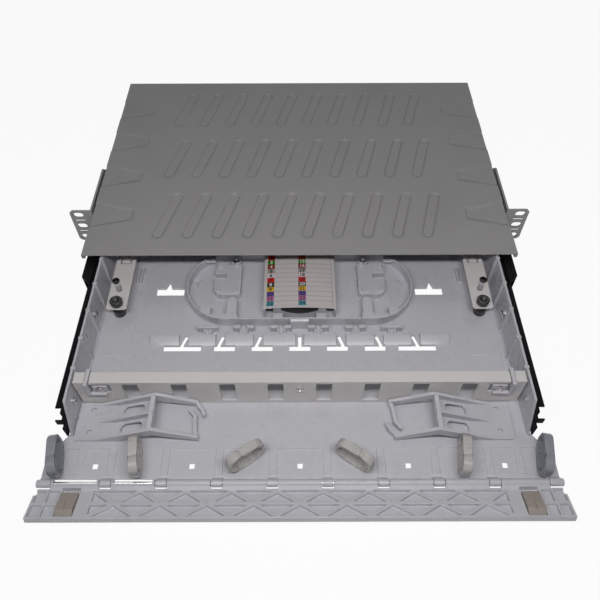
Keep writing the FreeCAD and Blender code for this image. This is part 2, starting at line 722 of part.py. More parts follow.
def tray_shell():
    """Floor, flared front shelf, side walls with their ribs and the rear wall."""
    flare_back = HINGE_Y + SHELF_FLARE_BACK
    flare_front = HINGE_Y + SHELF_FLARE_FRONT
    step_half = TRAY_HALF + (SHELF_HALF - TRAY_HALF) * (flare_back - STEP_Y) / (flare_back - flare_front)
    floor = prism_xy([(-TRAY_HALF, TRAY_BACK), (-TRAY_HALF, flare_back), (-step_half, STEP_Y),
                      (step_half, STEP_Y), (TRAY_HALF, flare_back), (TRAY_HALF, TRAY_BACK)],
                     BOTTOM, FLOOR)
    shelf = prism_xy([(-step_half, STEP_Y), (-SHELF_HALF, flare_front), (-SHELF_HALF, SHELF_EDGE),
                      (SHELF_HALF, SHELF_EDGE), (SHELF_HALF, flare_front), (step_half, STEP_Y)],
                     BOTTOM, SHELF_TOP)
    pieces = [floor, shelf]
    for x in [s * k for s in SIDES for k in KNUCKLE_X + (OUTER_RIDGE_X,)]:
        pieces.append(box(x - RIDGE_WIDTH / 2, x + RIDGE_WIDTH / 2, HINGE_Y + RIDGE_END, STEP_Y,
                          BOTTOM, FLOOR))
    ribs = int((TRAY_LENGTH - WALL_NOSE_TOP) / WALL_RIB_PITCH)
    for side in SIDES:
        wall = prism_yz([(HINGE_Y + WALL_NOSE_FOOT, FLOOR), (HINGE_Y + WALL_NOSE_TOP, WALL_TOP),
                         (TRAY_BACK, WALL_TOP), (TRAY_BACK, BOTTOM), (HINGE_Y + WALL_NOSE_FOOT, BOTTOM)],
                        side * TRAY_HALF, side * TRAY_INNER)
        pieces.append(wall)
        for k in range(1, ribs + 1):
            y = HINGE_Y + WALL_NOSE_TOP + k * WALL_RIB_PITCH
            pieces.append(box(side * TRAY_HALF, side * (TRAY_INNER - WALL_RIB_PROUD),
                              y - WALL_RIB_WIDTH / 2, y + WALL_RIB_WIDTH / 2, BOTTOM,
                              WALL_TOP + WALL_RIB_CROWN))
        cove_x = side * (TRAY_INNER - COVE_RADIUS + COVE_SINK)
        cove_z = FLOOR + COVE_RADIUS - COVE_SINK
        cove_y = PANEL_Y + PANEL_SHEET + COVE_GAP
        cove = box(cove_x, side * TRAY_INNER, cove_y, TRAY_BACK, FLOOR, cove_z)
        pieces.append(cove.cut(rod(COVE_RADIUS, (cove_x, cove_y - 1, cove_z),
                                   (cove_x, TRAY_BACK + 1, cove_z))))
        pieces.append(box(side * PLINTH_X, side * TRAY_INNER, HINGE_Y + PLINTH_SETBACK, TRAY_BACK,
                          BOTTOM, FLOOR + PLINTH_HEIGHT))
    pieces.append(box(-TRAY_HALF, TRAY_HALF, TRAY_BACK - TRAY_WALL, TRAY_BACK, BOTTOM, WALL_TOP))
    return pieces


def raceways():
    """Pairs of low fins on the floor that keep the fibres beside the corner plates."""
    pieces = []
    y0 = HINGE_Y + RACEWAY_SETBACK
    for side in SIDES:
        for fin in SIDES:
            x = side * RACEWAY_X + fin * RACEWAY_GAP / 2
            pieces.append(box(x, x + fin * RACEWAY_WALL, y0, y0 + RACEWAY_LENGTH, BOTTOM,
                              FLOOR + RACEWAY_HEIGHT))
    return pieces


def clip_bar():
    """Upright clips joined by necks to a row of ramped pads on the floor in front of the cassette."""
    pieces = []
    top = FLOOR + CLIP_HEIGHT
    neck_top = FLOOR + CLIP_NECK_HEIGHT
    clip_back = CLIP_FRONT + CLIP_DEPTH
    pad_back = PAD_FRONT + PAD_DEPTH
    notched = [k * CLIP_PITCH for k in (-1.5, -0.5, 0.5, 1.5)]
    for x in notched + [side * END_CLIP_X for side in SIDES]:
        clip = box(x - CLIP_WIDTH / 2, x + CLIP_WIDTH / 2, CLIP_FRONT, clip_back, FLOOR, top)
        neck = box(x - CLIP_NECK / 2, x + CLIP_NECK / 2, pad_back, CLIP_FRONT, FLOOR, neck_top)
        groove = facet_rod(CLIP_NECK_GROOVE / 2, (x, pad_back - 1, neck_top), (x, CLIP_FRONT, neck_top),
                           ROUND_SIDES)
        if x in notched:
            clip = clip.cut(facet_rod(CLIP_NOTCH / 2, (x, CLIP_FRONT - 1, top), (x, clip_back + 1, top),
                                      ROUND_SIDES))
        pieces += [clip, neck.cut(groove)]
    for side in SIDES:
        for x0, x1 in PAD_SPANS:
            pieces.append(prism_yz([(PAD_FRONT, FLOOR), (PAD_FRONT + PAD_RAMP, FLOOR + PAD_HEIGHT),
                                    (pad_back, FLOOR + PAD_HEIGHT), (pad_back, FLOOR)], side * x0, side * x1))
    return pieces


def tie_cuts():
    """Through cuts in the floor: a slot before each gap of the pads and a slit in the gap."""
    cuts = []
    spots = [(k * CLIP_PITCH, TIE_SLOT_WIDTH) for k in (-2, -1, 0, 1, 2)]
    spots += [(side * END_TIE_X, END_TIE_WIDTH) for side in SIDES]
    low = BOTTOM - 1
    high = FLOOR + 1
    y1 = HINGE_Y + TIE_SETBACK
    y2 = PAD_FRONT + PAD_DEPTH
    above = FLOOR + PAD_HEIGHT + 1
    for x, width in spots:
        cuts.append(box(x - width / 2, x + width / 2, y1 - TIE_SLOT_DEPTH, y1, low, above))
    gaps = [(PAD_SPANS[k][1] + PAD_SPANS[k + 1][0]) / 2 for k in range(len(PAD_SPANS) - 1)]
    for x in [0.0] + [side * gap for side in SIDES for gap in gaps]:
        lean = math.copysign(TIE_LEAN, x) / 2 if x else 0.0
        cuts.append(strip_xy((x + lean, y1 - 1), (x - lean, y2), TIE_SLIT, low, high))
    for side in SIDES:
        x = side * ARROW_X
        y = HINGE_Y + ARROW_SETBACK
        half = ARROW_LENGTH / 2
        point = x + side * ARROW_POINT_X
        near = y - ARROW_WIDTH / 2
        far = y + ARROW_WIDTH / 2
        cuts.append(prism_xy([(x - half, near), (x + half, near), (x + half, far),
                              (point + ARROW_POINT_HALF, far),
                              (point, far + ARROW_POINT), (point - ARROW_POINT_HALF, far),
                              (x - half, far)],
                             low, high))
    return cuts


def panel_clips():
    """Hooks and screw bosses that hold the adapter panel, and the post behind its middle."""
    back = PANEL_Y + PANEL_SHEET
    front = PANEL_Y - HOOK_GAP
    pieces = [box(-POST_SIZE / 2, POST_SIZE / 2, back, back + POST_SIZE, BOTTOM,
                  PANEL_TOP - POST_TOP_GAP)]
    for side in SIDES:
        boss = side * END_WINDOW_X
        pieces.append(box(boss - END_BOSS_WIDTH / 2, boss + END_BOSS_WIDTH / 2, back, back + POST_SIZE,
                          BOTTOM, END_BOSS_Z + END_BOSS_HEIGHT / 2))
        pieces.append(box(boss - END_BOSS_WIDTH / 2, boss + END_BOSS_WIDTH / 2,
                          PANEL_Y - END_BOSS_PROUD, back + 1,
                          END_BOSS_Z - END_BOSS_HEIGHT / 2, END_BOSS_Z + END_BOSS_HEIGHT / 2))
        x0 = side * (HOOK_X - HOOK_WIDTH / 2)
        x1 = side * (HOOK_X + HOOK_WIDTH / 2)
        top = PANEL_TOP + HOOK_PROUD
        rear = PANEL_Y + HOOK_BACK
        pieces.append(box(x0, x1, front - HOOK_SHEET, rear, top - HOOK_SHEET, top))
        pieces.append(box(x0, x1, rear - HOOK_SHEET, rear, BOTTOM, top))
        pieces.append(box(x0, x1, front - HOOK_SHEET, front, HOOK_FOOT_Z, top))
        pieces.append(box(x1, x1 - side * HOOK_REACH, front - HOOK_SHEET, front,
                          HOOK_FOOT_Z - HOOK_SHEET, HOOK_FOOT_Z))
    return pieces


def tray():
    pieces = tray_shell() + clip_bar() + raceways() + panel_clips()
    pieces += [hinge_knuckle(x, width) for x, width in all_knuckles()]
    cuts = tie_cuts()
    # The eyes grip the rod on flats; the flap's sleeves turn on it in a round bore
    cuts.append(facet_rod((ROD_RADIUS + ROD_FIT) / math.cos(math.pi / ROUND_SIDES),
                          (-2 * SHELF_HALF, HINGE_Y, HINGE_Z), (2 * SHELF_HALF, HINGE_Y, HINGE_Z),
                          ROUND_SIDES))
    for side in SIDES:
        for x in RING_X:
            cuts.append(rod(RING_PEG_RADIUS + RING_PEG_FIT, (side * x, RING_Y, BOTTOM - 1),
                            (side * x, RING_Y, FLOOR + 1)))
        for x in SPARE_HOLE_X:
            half = SPARE_HOLE / 2
            y = RING_Y - SPARE_HOLE_SHIFT
            cuts.append(box(side * x - half, side * x + half, y - half, y + half, BOTTOM - 1, FLOOR + 1))
        for y in SLIDE_SCREW_Y:
            cuts.append(screw_hole((side * (TRAY_HALF + 1), y, SLIDE_MID_Z),
                            (side * (TRAY_INNER - WALL_RIB_PROUD - 1), y, SLIDE_MID_Z)))
        entry = side * ENTRY_X
        cuts.append(box(entry - ENTRY_WIDTH / 2, entry + ENTRY_WIDTH / 2, TRAY_BACK - TRAY_WALL - 1,
                        TRAY_BACK + 1, FLOOR + ENTRY_SILL, TOP))
        # Pins that locate the cord guides
        for at in guide_pins(side):
            pieces.append(facet_rod(GUIDE_PIN_RADIUS, at + (BOTTOM,), at + (FLOOR + GUIDE_PIN_HEIGHT,),
                                    SCREW_SIDES))
        # Posts under the corner plates
        for inset, x in plate_fixings(side):
            at = (x, HINGE_Y + PLATE_FRONT + inset)
            if inset != KNOB_IN:
                pieces.append(facet_rod(PLATE_POST_RADIUS, at + (BOTTOM,), at + (PLATE_Z,), ROUND_SIDES))
        cuts.append(screw_hole((side * END_WINDOW_X, PANEL_Y - 1, END_BOSS_Z),
                        (side * END_WINDOW_X, PANEL_Y + PANEL_SCREW_LENGTH, END_BOSS_Z)))
    cuts.append(screw_hole((0, PANEL_Y, PANEL_SCREW_Z), (0, PANEL_Y + PANEL_SCREW_LENGTH,
                                                              PANEL_SCREW_Z)))
    # Snap lug that holds the cassette's front edge
    near = CASSETTE_FRONT - LUG_DEPTH
    far = CASSETTE_FRONT - LUG_GAP
    lug_top = FLOOR + CASSETTE_HEIGHT
    pieces.append(prism_yz([(near, FLOOR), (near, lug_top), (far - LUG_NOSE, lug_top + LUG_NOSE),
                            (far, lug_top),
                            (far, FLOOR)], -LUG_WIDTH / 2, LUG_WIDTH / 2))
    return fused(pieces).cut(Part.makeCompound(cuts)).removeSplitter()


# Adapter panel

def adapter_panel():
    """A bent sheet: an upright face with adapter windows and a flange along its top."""
    half = TRAY_INNER - PANEL_END_GAP - WALL_RIB_PROUD
    back = PANEL_Y + PANEL_SHEET
    face = box(-half, half, PANEL_Y, back, FLOOR, PANEL_TOP)
    flange = box(-half, half, PANEL_Y, PANEL_Y + PANEL_FLANGE, PANEL_TOP - PANEL_SHEET, PANEL_TOP)
    cuts = []
    for k in range(WINDOWS):
        x = (k - (WINDOWS - 1) / 2) * WINDOW_PITCH
        cuts.append(box(x - WINDOW_WIDTH / 2, x + WINDOW_WIDTH / 2, PANEL_Y - 1, back + 1,
                        WINDOW_MID_Z - WINDOW_HEIGHT / 2, WINDOW_MID_Z + WINDOW_HEIGHT / 2))
    window_top = WINDOW_MID_Z + WINDOW_HEIGHT / 2
    for side in SIDES:
        x = side * END_WINDOW_X
        cuts.append(box(x - END_WINDOW_WIDTH / 2, x + END_WINDOW_WIDTH / 2, PANEL_Y - 1, back + 1,
                        window_top - END_WINDOW_HEIGHT, window_top))
        gap = HOOK_WIDTH / 2 + HOOK_GAP
        cuts.append(box(side * (HOOK_X - gap), side * (HOOK_X + gap), PANEL_Y - 1,
                        PANEL_Y + PANEL_FLANGE + 1,
                        PANEL_TOP - HOOK_SHEET - HOOK_GAP, PANEL_TOP + 1))
    cuts.append(screw_hole((0, PANEL_Y - 1, PANEL_SCREW_Z), (0, back + 1, PANEL_SCREW_Z)))
    return fused([face, flange]).cut(Part.makeCompound(cuts)).removeSplitter()


def panel_screws():
    ends = [headed_screw((side * END_WINDOW_X, PANEL_Y - END_BOSS_PROUD, END_BOSS_Z),
                         (0, PANEL_SCREW_LENGTH, 0))
            for side in SIDES]
    return ends + [headed_screw((0, PANEL_Y, PANEL_SCREW_Z), (0, PANEL_SCREW_LENGTH, 0))]


# Cord guides

def guide_x(side, along):
    """The place across the tray of a point that lies this far from the guide's outer edge."""
    return side * (TRAY_INNER - GUIDE_IN[side] - along)


def guide_arm(last, y0):
    """One arm: it rises from the base to the ridge and falls again to the open loop."""
    ridge = FLOOR + GUIDE_RISE
    toe = FLOOR + GUIDE_TOE
    profile = [(GUIDE_ROOT, FLOOR + GUIDE_PLATE), (GUIDE_RIDGE, ridge)]
    if last > GUIDE_RIDGE:
        profile += [(last, toe), (last, FLOOR + GUIDE_LIFT)]
    profile += [(GUIDE_RIDGE, ridge - GUIDE_DEPTH), (GUIDE_HEEL, FLOOR), (GUIDE_ROOT, FLOOR)]
    return prism_xz([(guide_x(1, s), z) for s, z in profile], y0, y0 + GUIDE_ARM)


def guide_hook(path, root, way, last):
    """A bent strap with round ends that leaves the end of an arm and closes the loop."""
    points = [(last - GUIDE_ARM / 2, GUIDE_ARM / 2)] + list(path)
    places = [(guide_x(1, along), root + way * across) for along, across in points]
    low = FLOOR + GUIDE_LIFT
    high = FLOOR + GUIDE_TOE
    pieces = [facet_rod(GUIDE_ARM / 2, at + (low,), at + (high,), ROUND_SIDES) for at in places]
    for start, end in zip(places, places[1:]):
        pieces.append(strip_xy(start, end, GUIDE_ARM, low, high))
    return pieces


def guide_pins(side):
    """The two places where pins of the tray locate a guide."""
    mid = GUIDE_FRONT + GUIDE_WIDTH / 2
    return [(guide_x(side, GUIDE_PIN_IN), mid + end * GUIDE_PIN_SPREAD / 2) for end in SIDES]


def cord_guide():
    """The right guide, a moulding with three arms, a ridge bar and two bent hooks."""
    y0 = GUIDE_FRONT
    y1 = GUIDE_FRONT + GUIDE_WIDTH
    ridge = FLOOR + GUIDE_RISE
    bevel = GUIDE_BASE_BEVEL
    base = prism_xy([(guide_x(1, 0), y0 + bevel), (guide_x(1, bevel), y0), (guide_x(1, GUIDE_BASE), y0),
                     (guide_x(1, GUIDE_BASE), y1), (guide_x(1, bevel), y1), (guide_x(1, 0), y1 - bevel)],
                    FLOOR, FLOOR + GUIDE_PLATE)
    mid = (y0 + y1) / 2
    arms = [guide_arm(GUIDE_FRONT_LENGTH, y0), guide_arm(GUIDE_LENGTH, y1 - GUIDE_ARM),
            guide_arm(GUIDE_RIDGE, mid - GUIDE_ARM / 2)]
    bar = box(guide_x(1, GUIDE_RIDGE - GUIDE_BAR), guide_x(1, GUIDE_RIDGE), y0, y1,
              ridge - GUIDE_DEPTH, ridge - GUIDE_BAR_DROP)
    web = [(GUIDE_HEEL, FLOOR), (GUIDE_HEEL, FLOOR + GUIDE_WEB),
           (GUIDE_RIDGE, ridge - GUIDE_DEPTH + GUIDE_WEB), (GUIDE_RIDGE, ridge - GUIDE_DEPTH)]
    web = prism_xz([(guide_x(1, along), z) for along, z in web], y0, y1)
    hooks = guide_hook(GUIDE_LONG_HOOK, y1, -1, GUIDE_LENGTH)
    hooks += guide_hook(GUIDE_SHORT_HOOK, y0, 1, GUIDE_FRONT_LENGTH)
    cuts = [facet_rod(GUIDE_PIN_RADIUS + GUIDE_PIN_FIT, at + (FLOOR - 1,), at + (FLOOR + GUIDE_PLATE + 1,),
                      SCREW_SIDES)
            for at in guide_pins(1)]
    for end in SIDES:
        y = mid + end * (GUIDE_WIDTH - GUIDE_ARM) / 4
        cuts.append(obround(GUIDE_WINDOW_LENGTH, GUIDE_WINDOW_WIDTH, 90, guide_x(1, GUIDE_WINDOW_IN), y,
                            FLOOR - 1, ridge))
    return fused([base, bar, web] + hooks + arms).cut(Part.makeCompound(cuts)).removeSplitter()


def turned_about_tray_line(shape):
    """The same moulding fitted on the other side, turned half a turn about the upright axis."""
    copy = shape.copy()
    copy.rotate(V(0, GUIDE_FRONT + GUIDE_WIDTH / 2, 0), V(0, 0, 1), 180)
    copy.translate(V(GUIDE_IN[-1] - GUIDE_IN[1], 0, 0))
    return copy


# Corner plates

def plate_fixings(side):
    """Distance behind the plate's front edge and place across the tray of each fixing."""
    return [(KNOB_IN, side * PLATE_X), (PLATE_SCREW_IN, side * (PLATE_X + PLATE_SCREW_SHIFT)),
            (PLATE_BACK - PLATE_FRONT - KNOB_IN, side * PLATE_X)]


def corner_plate():
    """The right plate: a flat sheet with a slanted slot and a U-shaped tongue."""
    y0 = HINGE_Y + PLATE_FRONT
    y1 = HINGE_Y + PLATE_BACK
    x0 = PLATE_X - PLATE_WIDTH / 2
    x1 = PLATE_X + PLATE_WIDTH / 2
    top = PLATE_Z + PLATE_SHEET
    bevel = PLATE_BEVEL
    sheet = prism_xy([(x0 + bevel, y0), (x1 - bevel, y0), (x1, y0 + bevel), (x1, y1), (x0, y1),
                      (x0, y0 + bevel)],
                     PLATE_Z, top)
    cuts = [obround(PLATE_SLOT_LENGTH, PLATE_SLOT_WIDTH, -PLATE_SLOT_SLANT,
                    PLATE_X + PLATE_SLOT_SHIFT, y0 + PLATE_SLOT_IN, PLATE_Z - 1, top + 1)]
    for inset, x in plate_fixings(1):
        cuts.append(screw_hole((x, y0 + inset, PLATE_Z - 1), (x, y0 + inset, top + 1)))
    tongue = y0 + TONGUE_IN
    half = TONGUE_WIDTH / 2
    for end in SIDES:
        x = PLATE_X + end * half
        cuts.append(box(x, x - end * TONGUE_SLIT, tongue, tongue + TONGUE_LENGTH, PLATE_Z - 1, top + 1))
    cuts.append(box(PLATE_X - half, PLATE_X + half, tongue, tongue + TONGUE_SLIT, PLATE_Z - 1, top + 1))
    return sheet.cut(Part.makeCompound(cuts))


def plate_knobs():
    """Black knobs on the plates' front corners: a head, a stem and a spacer below."""
    knobs = []
    for side in SIDES:
        at = (side * PLATE_X, HINGE_Y + PLATE_FRONT + KNOB_IN)
        top = PLATE_Z + PLATE_SHEET
        head = facet_rod(KNOB_RADIUS, at + (top,), at + (top + KNOB_HEIGHT,), KNOB_SIDES)
        rim = [e for e in head.Edges if e.BoundBox.ZMin > top + KNOB_HEIGHT / 2]
        head = head.makeChamfer(KNOB_BEVEL, rim)
        stem = facet_rod(SCREW_RADIUS, at + (PLATE_Z - 1,), at + (top + 1,), SCREW_SIDES)
        spacer = facet_rod(KNOB_RADIUS, at + (FLOOR + PLINTH_HEIGHT,), at + (PLATE_Z,), KNOB_SIDES)
        knobs.append(fused([head, stem, spacer]))
    return knobs


def plate_screws():
    screws = []
    for side in SIDES:
        for inset, x in plate_fixings(side)[1:]:
            screws.append(headed_screw((x, HINGE_Y + PLATE_FRONT + inset, PLATE_Z + PLATE_SHEET),
                                       (0, 0, -PLATE_SHEET)))
    return screws


# Splice cassette

def spool_core(side, low, high):
    """The raised block that the fibre turns round, straight inside and well rounded outside."""
    y0 = CASSETTE_FRONT + CORE_FRONT
    y1 = CASSETTE_FRONT + CASSETTE_DEPTH - CORE_BACK
    core = box(side * CORE_INNER, side * CORE_OUTER, y0, y1, low, high)
    upright = [e for e in core.Edges if abs(e.tangentAt(e.FirstParameter).z) > 0.9]
    middle = (CORE_INNER + CORE_OUTER) / 2
    core = core.makeFillet(CORE_ROUND, [e for e in upright if side * e.CenterOfMass.x > middle])
    upright = [e for e in core.Edges if e.Length > high - low - 0.01 and e.BoundBox.XLength < 0.01
               and e.BoundBox.YLength < 0.01 and abs(side * e.CenterOfMass.x - CORE_INNER) < 0.01]
    return core.makeFillet(CORE_CORNER, upright)


def splice_cassette():
    """A moulded dish with round ends, two spool cores, rim tabs and card rails."""
    base = FLOOR
    deck = base + CASSETTE_FLOOR
    rim = base + CASSETTE_HEIGHT
    outer = rounded_plate(CASSETTE_WIDTH, CASSETTE_DEPTH, CASSETTE_DEPTH / 2, CASSETTE_MID, base, rim)
    bowl = rounded_plate(CASSETTE_WIDTH - 2 * CASSETTE_WALL, CASSETTE_DEPTH - 2 * CASSETTE_WALL,
                         CASSETTE_DEPTH / 2 - CASSETTE_WALL, CASSETTE_MID, deck, rim + 1)
    pieces = [outer.cut(bowl)]
    cuts = []
    front = CASSETTE_FRONT
    core_top = deck + CORE_HEIGHT
    for side in SIDES:
        pieces.append(spool_core(side, base, core_top))
        slot_y = front + CORE_SLOT_IN
        cuts.append(box(side * (CORE_OUTER - CORE_SLOT_LENGTH), side * (CORE_OUTER + 1),
                        slot_y - CORE_SLOT_WIDTH / 2, slot_y + CORE_SLOT_WIDTH / 2, deck, core_top + 1))
        for x, inset in CORE_POSTS:
            at = (side * x, front + inset)
            pieces.append(facet_rod(CORE_POST_RADIUS, at + (base,), at + (core_top + CORE_POST_PROUD,),
                                    ROUND_SIDES))
        fork = (side * END_SLIT[1][0], front + END_SLIT[1][1])
        for x, inset in END_SLIT[:1] + END_SLIT_FORKS:
            cuts.append(strip_xy(fork, (side * x, front + inset), SLIT, base - 1, deck + 1))
        hole = (side * SPLICE_HOLE_X, front + SPLICE_HOLE_IN)
        cuts.append(facet_rod(SPLICE_HOLE_RADIUS, hole + (base - 1,), hole + (deck + 1,), SCREW_SIDES))
        # Tabs, tongue and ledge that hold the fibre down, level with the rim
        under = rim - CASSETTE_FLOOR
        for y_side in SIDES:
            y = CASSETTE_MID + y_side * (CASSETTE_DEPTH / 2 - CASSETTE_WALL / 2)
            for tab_x in RIM_TAB_X:
                reach = RIM_TAB_REACH
                if tab_x > (CASSETTE_WIDTH - CASSETTE_DEPTH) / 2:
                    reach += END_TAB_REACH
                x = side * tab_x
                pieces.append(box(x - RIM_TAB_LENGTH / 2, x + RIM_TAB_LENGTH / 2, y, y - y_side * reach,
                                  under, rim))
        tongue_end = front + RIM_TONGUE_REACH - RIM_TONGUE_WIDTH / 2
        at = (side * RIM_TONGUE_X, tongue_end)
        pieces.append(box(at[0] - RIM_TONGUE_WIDTH / 2, at[0] + RIM_TONGUE_WIDTH / 2,
                          front + CASSETTE_WALL / 2, tongue_end, under, rim))
        pieces.append(facet_rod(RIM_TONGUE_WIDTH / 2, at + (under,), at + (rim,), ROUND_SIDES))
        pieces.append(box(side * LEDGE_X[0], side * LEDGE_X[1], front + CASSETTE_WALL / 2,
                          front + CASSETTE_WALL + LEDGE_DEPTH, under, rim))
        rail = side * (CARD_WIDTH / 2 - CARD_RAIL)
        y0 = CASSETTE_MID + CARD_BACK - CARD_LENGTH / 2
        pieces.append(box(rail, rail + side * CARD_RAIL, y0, y0 + CARD_LENGTH, base, base + CARD_SEAT))
    cuts.append(box(-BASE_GROOVE_HALF, BASE_GROOVE_HALF, front - 1, front + BASE_GROOVE_DEPTH,
                    base - 1, base + BASE_GROOVE_HEIGHT))
    for x, y in cassette_fixings():
        top = deck + CASSETTE_BOSS
        pieces.append(facet_rod(CASSETTE_BOSS_RADIUS, (x, y, base), (x, y, top), ROUND_SIDES))
        cuts.append(screw_hole((x, y, base - 1), (x, y, top + 1)))
    return fused(pieces).cut(Part.makeCompound(cuts)).removeSplitter()


def cassette_fixings():
    return [(side * CASSETTE_SCREW_X, CASSETTE_FRONT + CASSETTE_DEPTH - CASSETTE_SCREW_IN) for side in SIDES]


def card_arc(x, z, arch, y):
    """An arch across the card, as an edge from one side to the other."""
    return Part.Arc(V(-x, y, z), V(0, y, z + arch), V(x, y, z)).toShape()


def label_card():
    """A thin card bowed up between its two rails."""
    half = CARD_WIDTH / 2
    y = CASSETTE_MID + CARD_BACK - CARD_LENGTH / 2
    z = FLOOR + CARD_SEAT
    low = card_arc(half, z, CARD_ARCH, y)
    high = card_arc(half, z + CARD_SHEET, CARD_ARCH, y)
    right = Part.LineSegment(V(half, y, z), V(half, y, z + CARD_SHEET)).toShape()
    left = Part.LineSegment(V(-half, y, z + CARD_SHEET), V(-half, y, z)).toShape()
    return Part.Face(Part.Wire(Part.__sortEdges__([low, right, high, left]))).extrude(V(0,
                                                                                        CARD_LENGTH, 0))


def splice_holder():
    """A soft black block with a row of grooves for the splice sleeves."""
    y0 = CASSETTE_MID + CARD_BACK - CARD_LENGTH / 2 + HOLDER_SETBACK
    low = FLOOR + CASSETTE_FLOOR
    high = FLOOR + CARD_SEAT - HOLDER_GAP
    block = box(-HOLDER_WIDTH / 2, HOLDER_WIDTH / 2, y0, y0 + HOLDER_LENGTH, low, high)
    pitch = HOLDER_LENGTH / HOLDER_GROOVES
    grooves = []
    for k in range(HOLDER_GROOVES):
        y = y0 + (k + 0.5) * pitch
        grooves.append(box(-HOLDER_WIDTH, HOLDER_WIDTH, y - HOLDER_GROOVE / 2, y + HOLDER_GROOVE / 2,
                           high - HOLDER_GROOVE, high + 1))
    arc = Part.Arc(V(-HOLDER_NOSE_HALF, y0, low), V(0, y0 - HOLDER_NOSE, low),
                   V(HOLDER_NOSE_HALF, y0, low)).toShape()
    chord = Part.LineSegment(V(HOLDER_NOSE_HALF, y0, low), V(-HOLDER_NOSE_HALF, y0, low)).toShape()
    nose = Part.Face(Part.Wire([arc, chord])).extrude(V(0, 0, high - low - HOLDER_NOSE_DROP))
    return fused([block.cut(Part.makeCompound(grooves)), nose])


def cassette_screws():
    depth = CASSETTE_FLOOR + CASSETTE_BOSS
    return [headed_screw((x, y, FLOOR + depth), (0, 0, -depth)) for x, y in cassette_fixings()]


# Flap, drawn flat with its inner face up and then tilted about the hinge

def tilted(shape):
    copy = shape.copy()
    copy.rotate(V(0, HINGE_Y, HINGE_Z), V(1, 0, 0), -FLAP_TILT)
    return copy


FLAP_TOP = HINGE_Z - FLAP_SINK
FLAP_UNDER = FLAP_TOP - FLAP_THICKNESS
FLAP_PLATE = FLAP_UNDER + FLAP_SKIN
FLAP_BACK = HINGE_Y - FLAP_ROOT
FLAP_FRONT = HINGE_Y - FLAP_REACH
LATCH_FRONT = FLAP_FRONT + FLAP_RIM + LATCH_GAP
LATCH_BACK = LATCH_FRONT + LATCH_LENGTH


def flap_bar(x0, x1, y0, y1):
    """A straight rib of the flap from one point to another, standing on the skin."""
    return strip_xy((x0, y0), (x1, y1), FLAP_RIB, FLAP_UNDER, FLAP_TOP)


def flap_sleeves():
    """Hinge sleeves that fill the bays between the shelf's knuckles, with the leaf that carries them."""
    pieces = []
    spots = all_knuckles()
    for index in range(len(spots) - 1):
        x0 = spots[index][0] + spots[index][1] / 2 + KNUCKLE_GAP
        x1 = spots[index + 1][0] - spots[index + 1][1] / 2 - KNUCKLE_GAP
        leaf = prism_yz([(FLAP_BACK - FLAP_RIM, FLAP_UNDER), (FLAP_BACK - FLAP_RIM, FLAP_TOP),
                         (HINGE_Y - LEAF_REACH, HINGE_Z + LEAF_RISE),
                         (HINGE_Y - LEAF_REACH, HINGE_Z - LEAF_DROP),
                         (FLAP_BACK, FLAP_UNDER)], x0, x1)
        sleeve = facet_rod(KNUCKLE_RADIUS, (x0, HINGE_Y, HINGE_Z), (x1, HINGE_Y, HINGE_Z), ROUND_SIDES)
        if index < BARE_ROD_BAYS:
            window = box(x0 + BARE_ROD_MARGIN, x1 - BARE_ROD_MARGIN, HINGE_Y - BARE_ROD_CUT,
                         HINGE_Y + KNUCKLE_RADIUS + 1,
                         HINGE_Z - KNUCKLE_RADIUS - 1, HINGE_Z + KNUCKLE_RADIUS + 1)
            sleeve = sleeve.cut(window)
        pieces += [leaf, sleeve]
    return pieces


def flap_panel():
    """The skin, its rim, the crossed ribs of each cell and the plain pockets at both ends."""
    skin = prism_xy([(-FLAP_HALF, FLAP_FRONT), (FLAP_HALF, FLAP_FRONT),
                     (FLAP_HALF, FLAP_BACK - FLAP_CORNER),
                     (FLAP_HALF - FLAP_CORNER_IN, FLAP_BACK), (-FLAP_HALF + FLAP_CORNER_IN, FLAP_BACK),
                     (-FLAP_HALF, FLAP_BACK - FLAP_CORNER)], FLAP_UNDER, FLAP_PLATE)
    pieces = [skin]
    back = FLAP_BACK - FLAP_RIM
    front = FLAP_FRONT + FLAP_RIM
    mid = (back + front) / 2
    pieces.append(box(-FLAP_HALF, FLAP_HALF, FLAP_FRONT, front, FLAP_UNDER, FLAP_TOP))
    pieces.append(box(-FLAP_HALF + FLAP_CORNER_IN, FLAP_HALF - FLAP_CORNER_IN, back, FLAP_BACK,
                      FLAP_UNDER, FLAP_TOP))
    half = FLAP_CELLS * FLAP_CELL / 2
    pocket = LATCH_WIDTH / 2 + LATCH_GAP
    pieces.append(box(-half, half, mid - FLAP_RIB / 2, mid + FLAP_RIB / 2, FLAP_UNDER, FLAP_TOP))
    for k in range(FLAP_CELLS):
        x0 = (k - FLAP_CELLS / 2) * FLAP_CELL
        x1 = x0 + FLAP_CELL
        pieces.append(flap_bar(x0, x1, back, front))
        pieces.append(flap_bar(x0, x1, front, back))
    for side in SIDES:
        end = side * FLAP_HALF
        pieces.append(box(end, end - side * FLAP_RIM, FLAP_FRONT, FLAP_BACK - FLAP_CORNER,
                          FLAP_UNDER, FLAP_TOP))
        guard = side * (LATCH_X + pocket)
        rib = side * (FLAP_HALF - END_RIB_IN)
        pieces.append(box(guard, guard + side * FLAP_RIM, FLAP_FRONT, FLAP_BACK, FLAP_UNDER, FLAP_TOP))
        pieces.append(box(rib - FLAP_RIM / 2, rib + FLAP_RIM / 2, FLAP_FRONT, FLAP_BACK,
                          FLAP_UNDER, FLAP_TOP))
        pieces.append(box(end, guard, mid - FLAP_RIB / 2, mid + FLAP_RIB / 2, FLAP_UNDER, FLAP_TOP))
        pieces.append(box(side * half, side * (LATCH_X - pocket), FLAP_FRONT, FLAP_BACK,
                          FLAP_UNDER, FLAP_TOP))
    return pieces


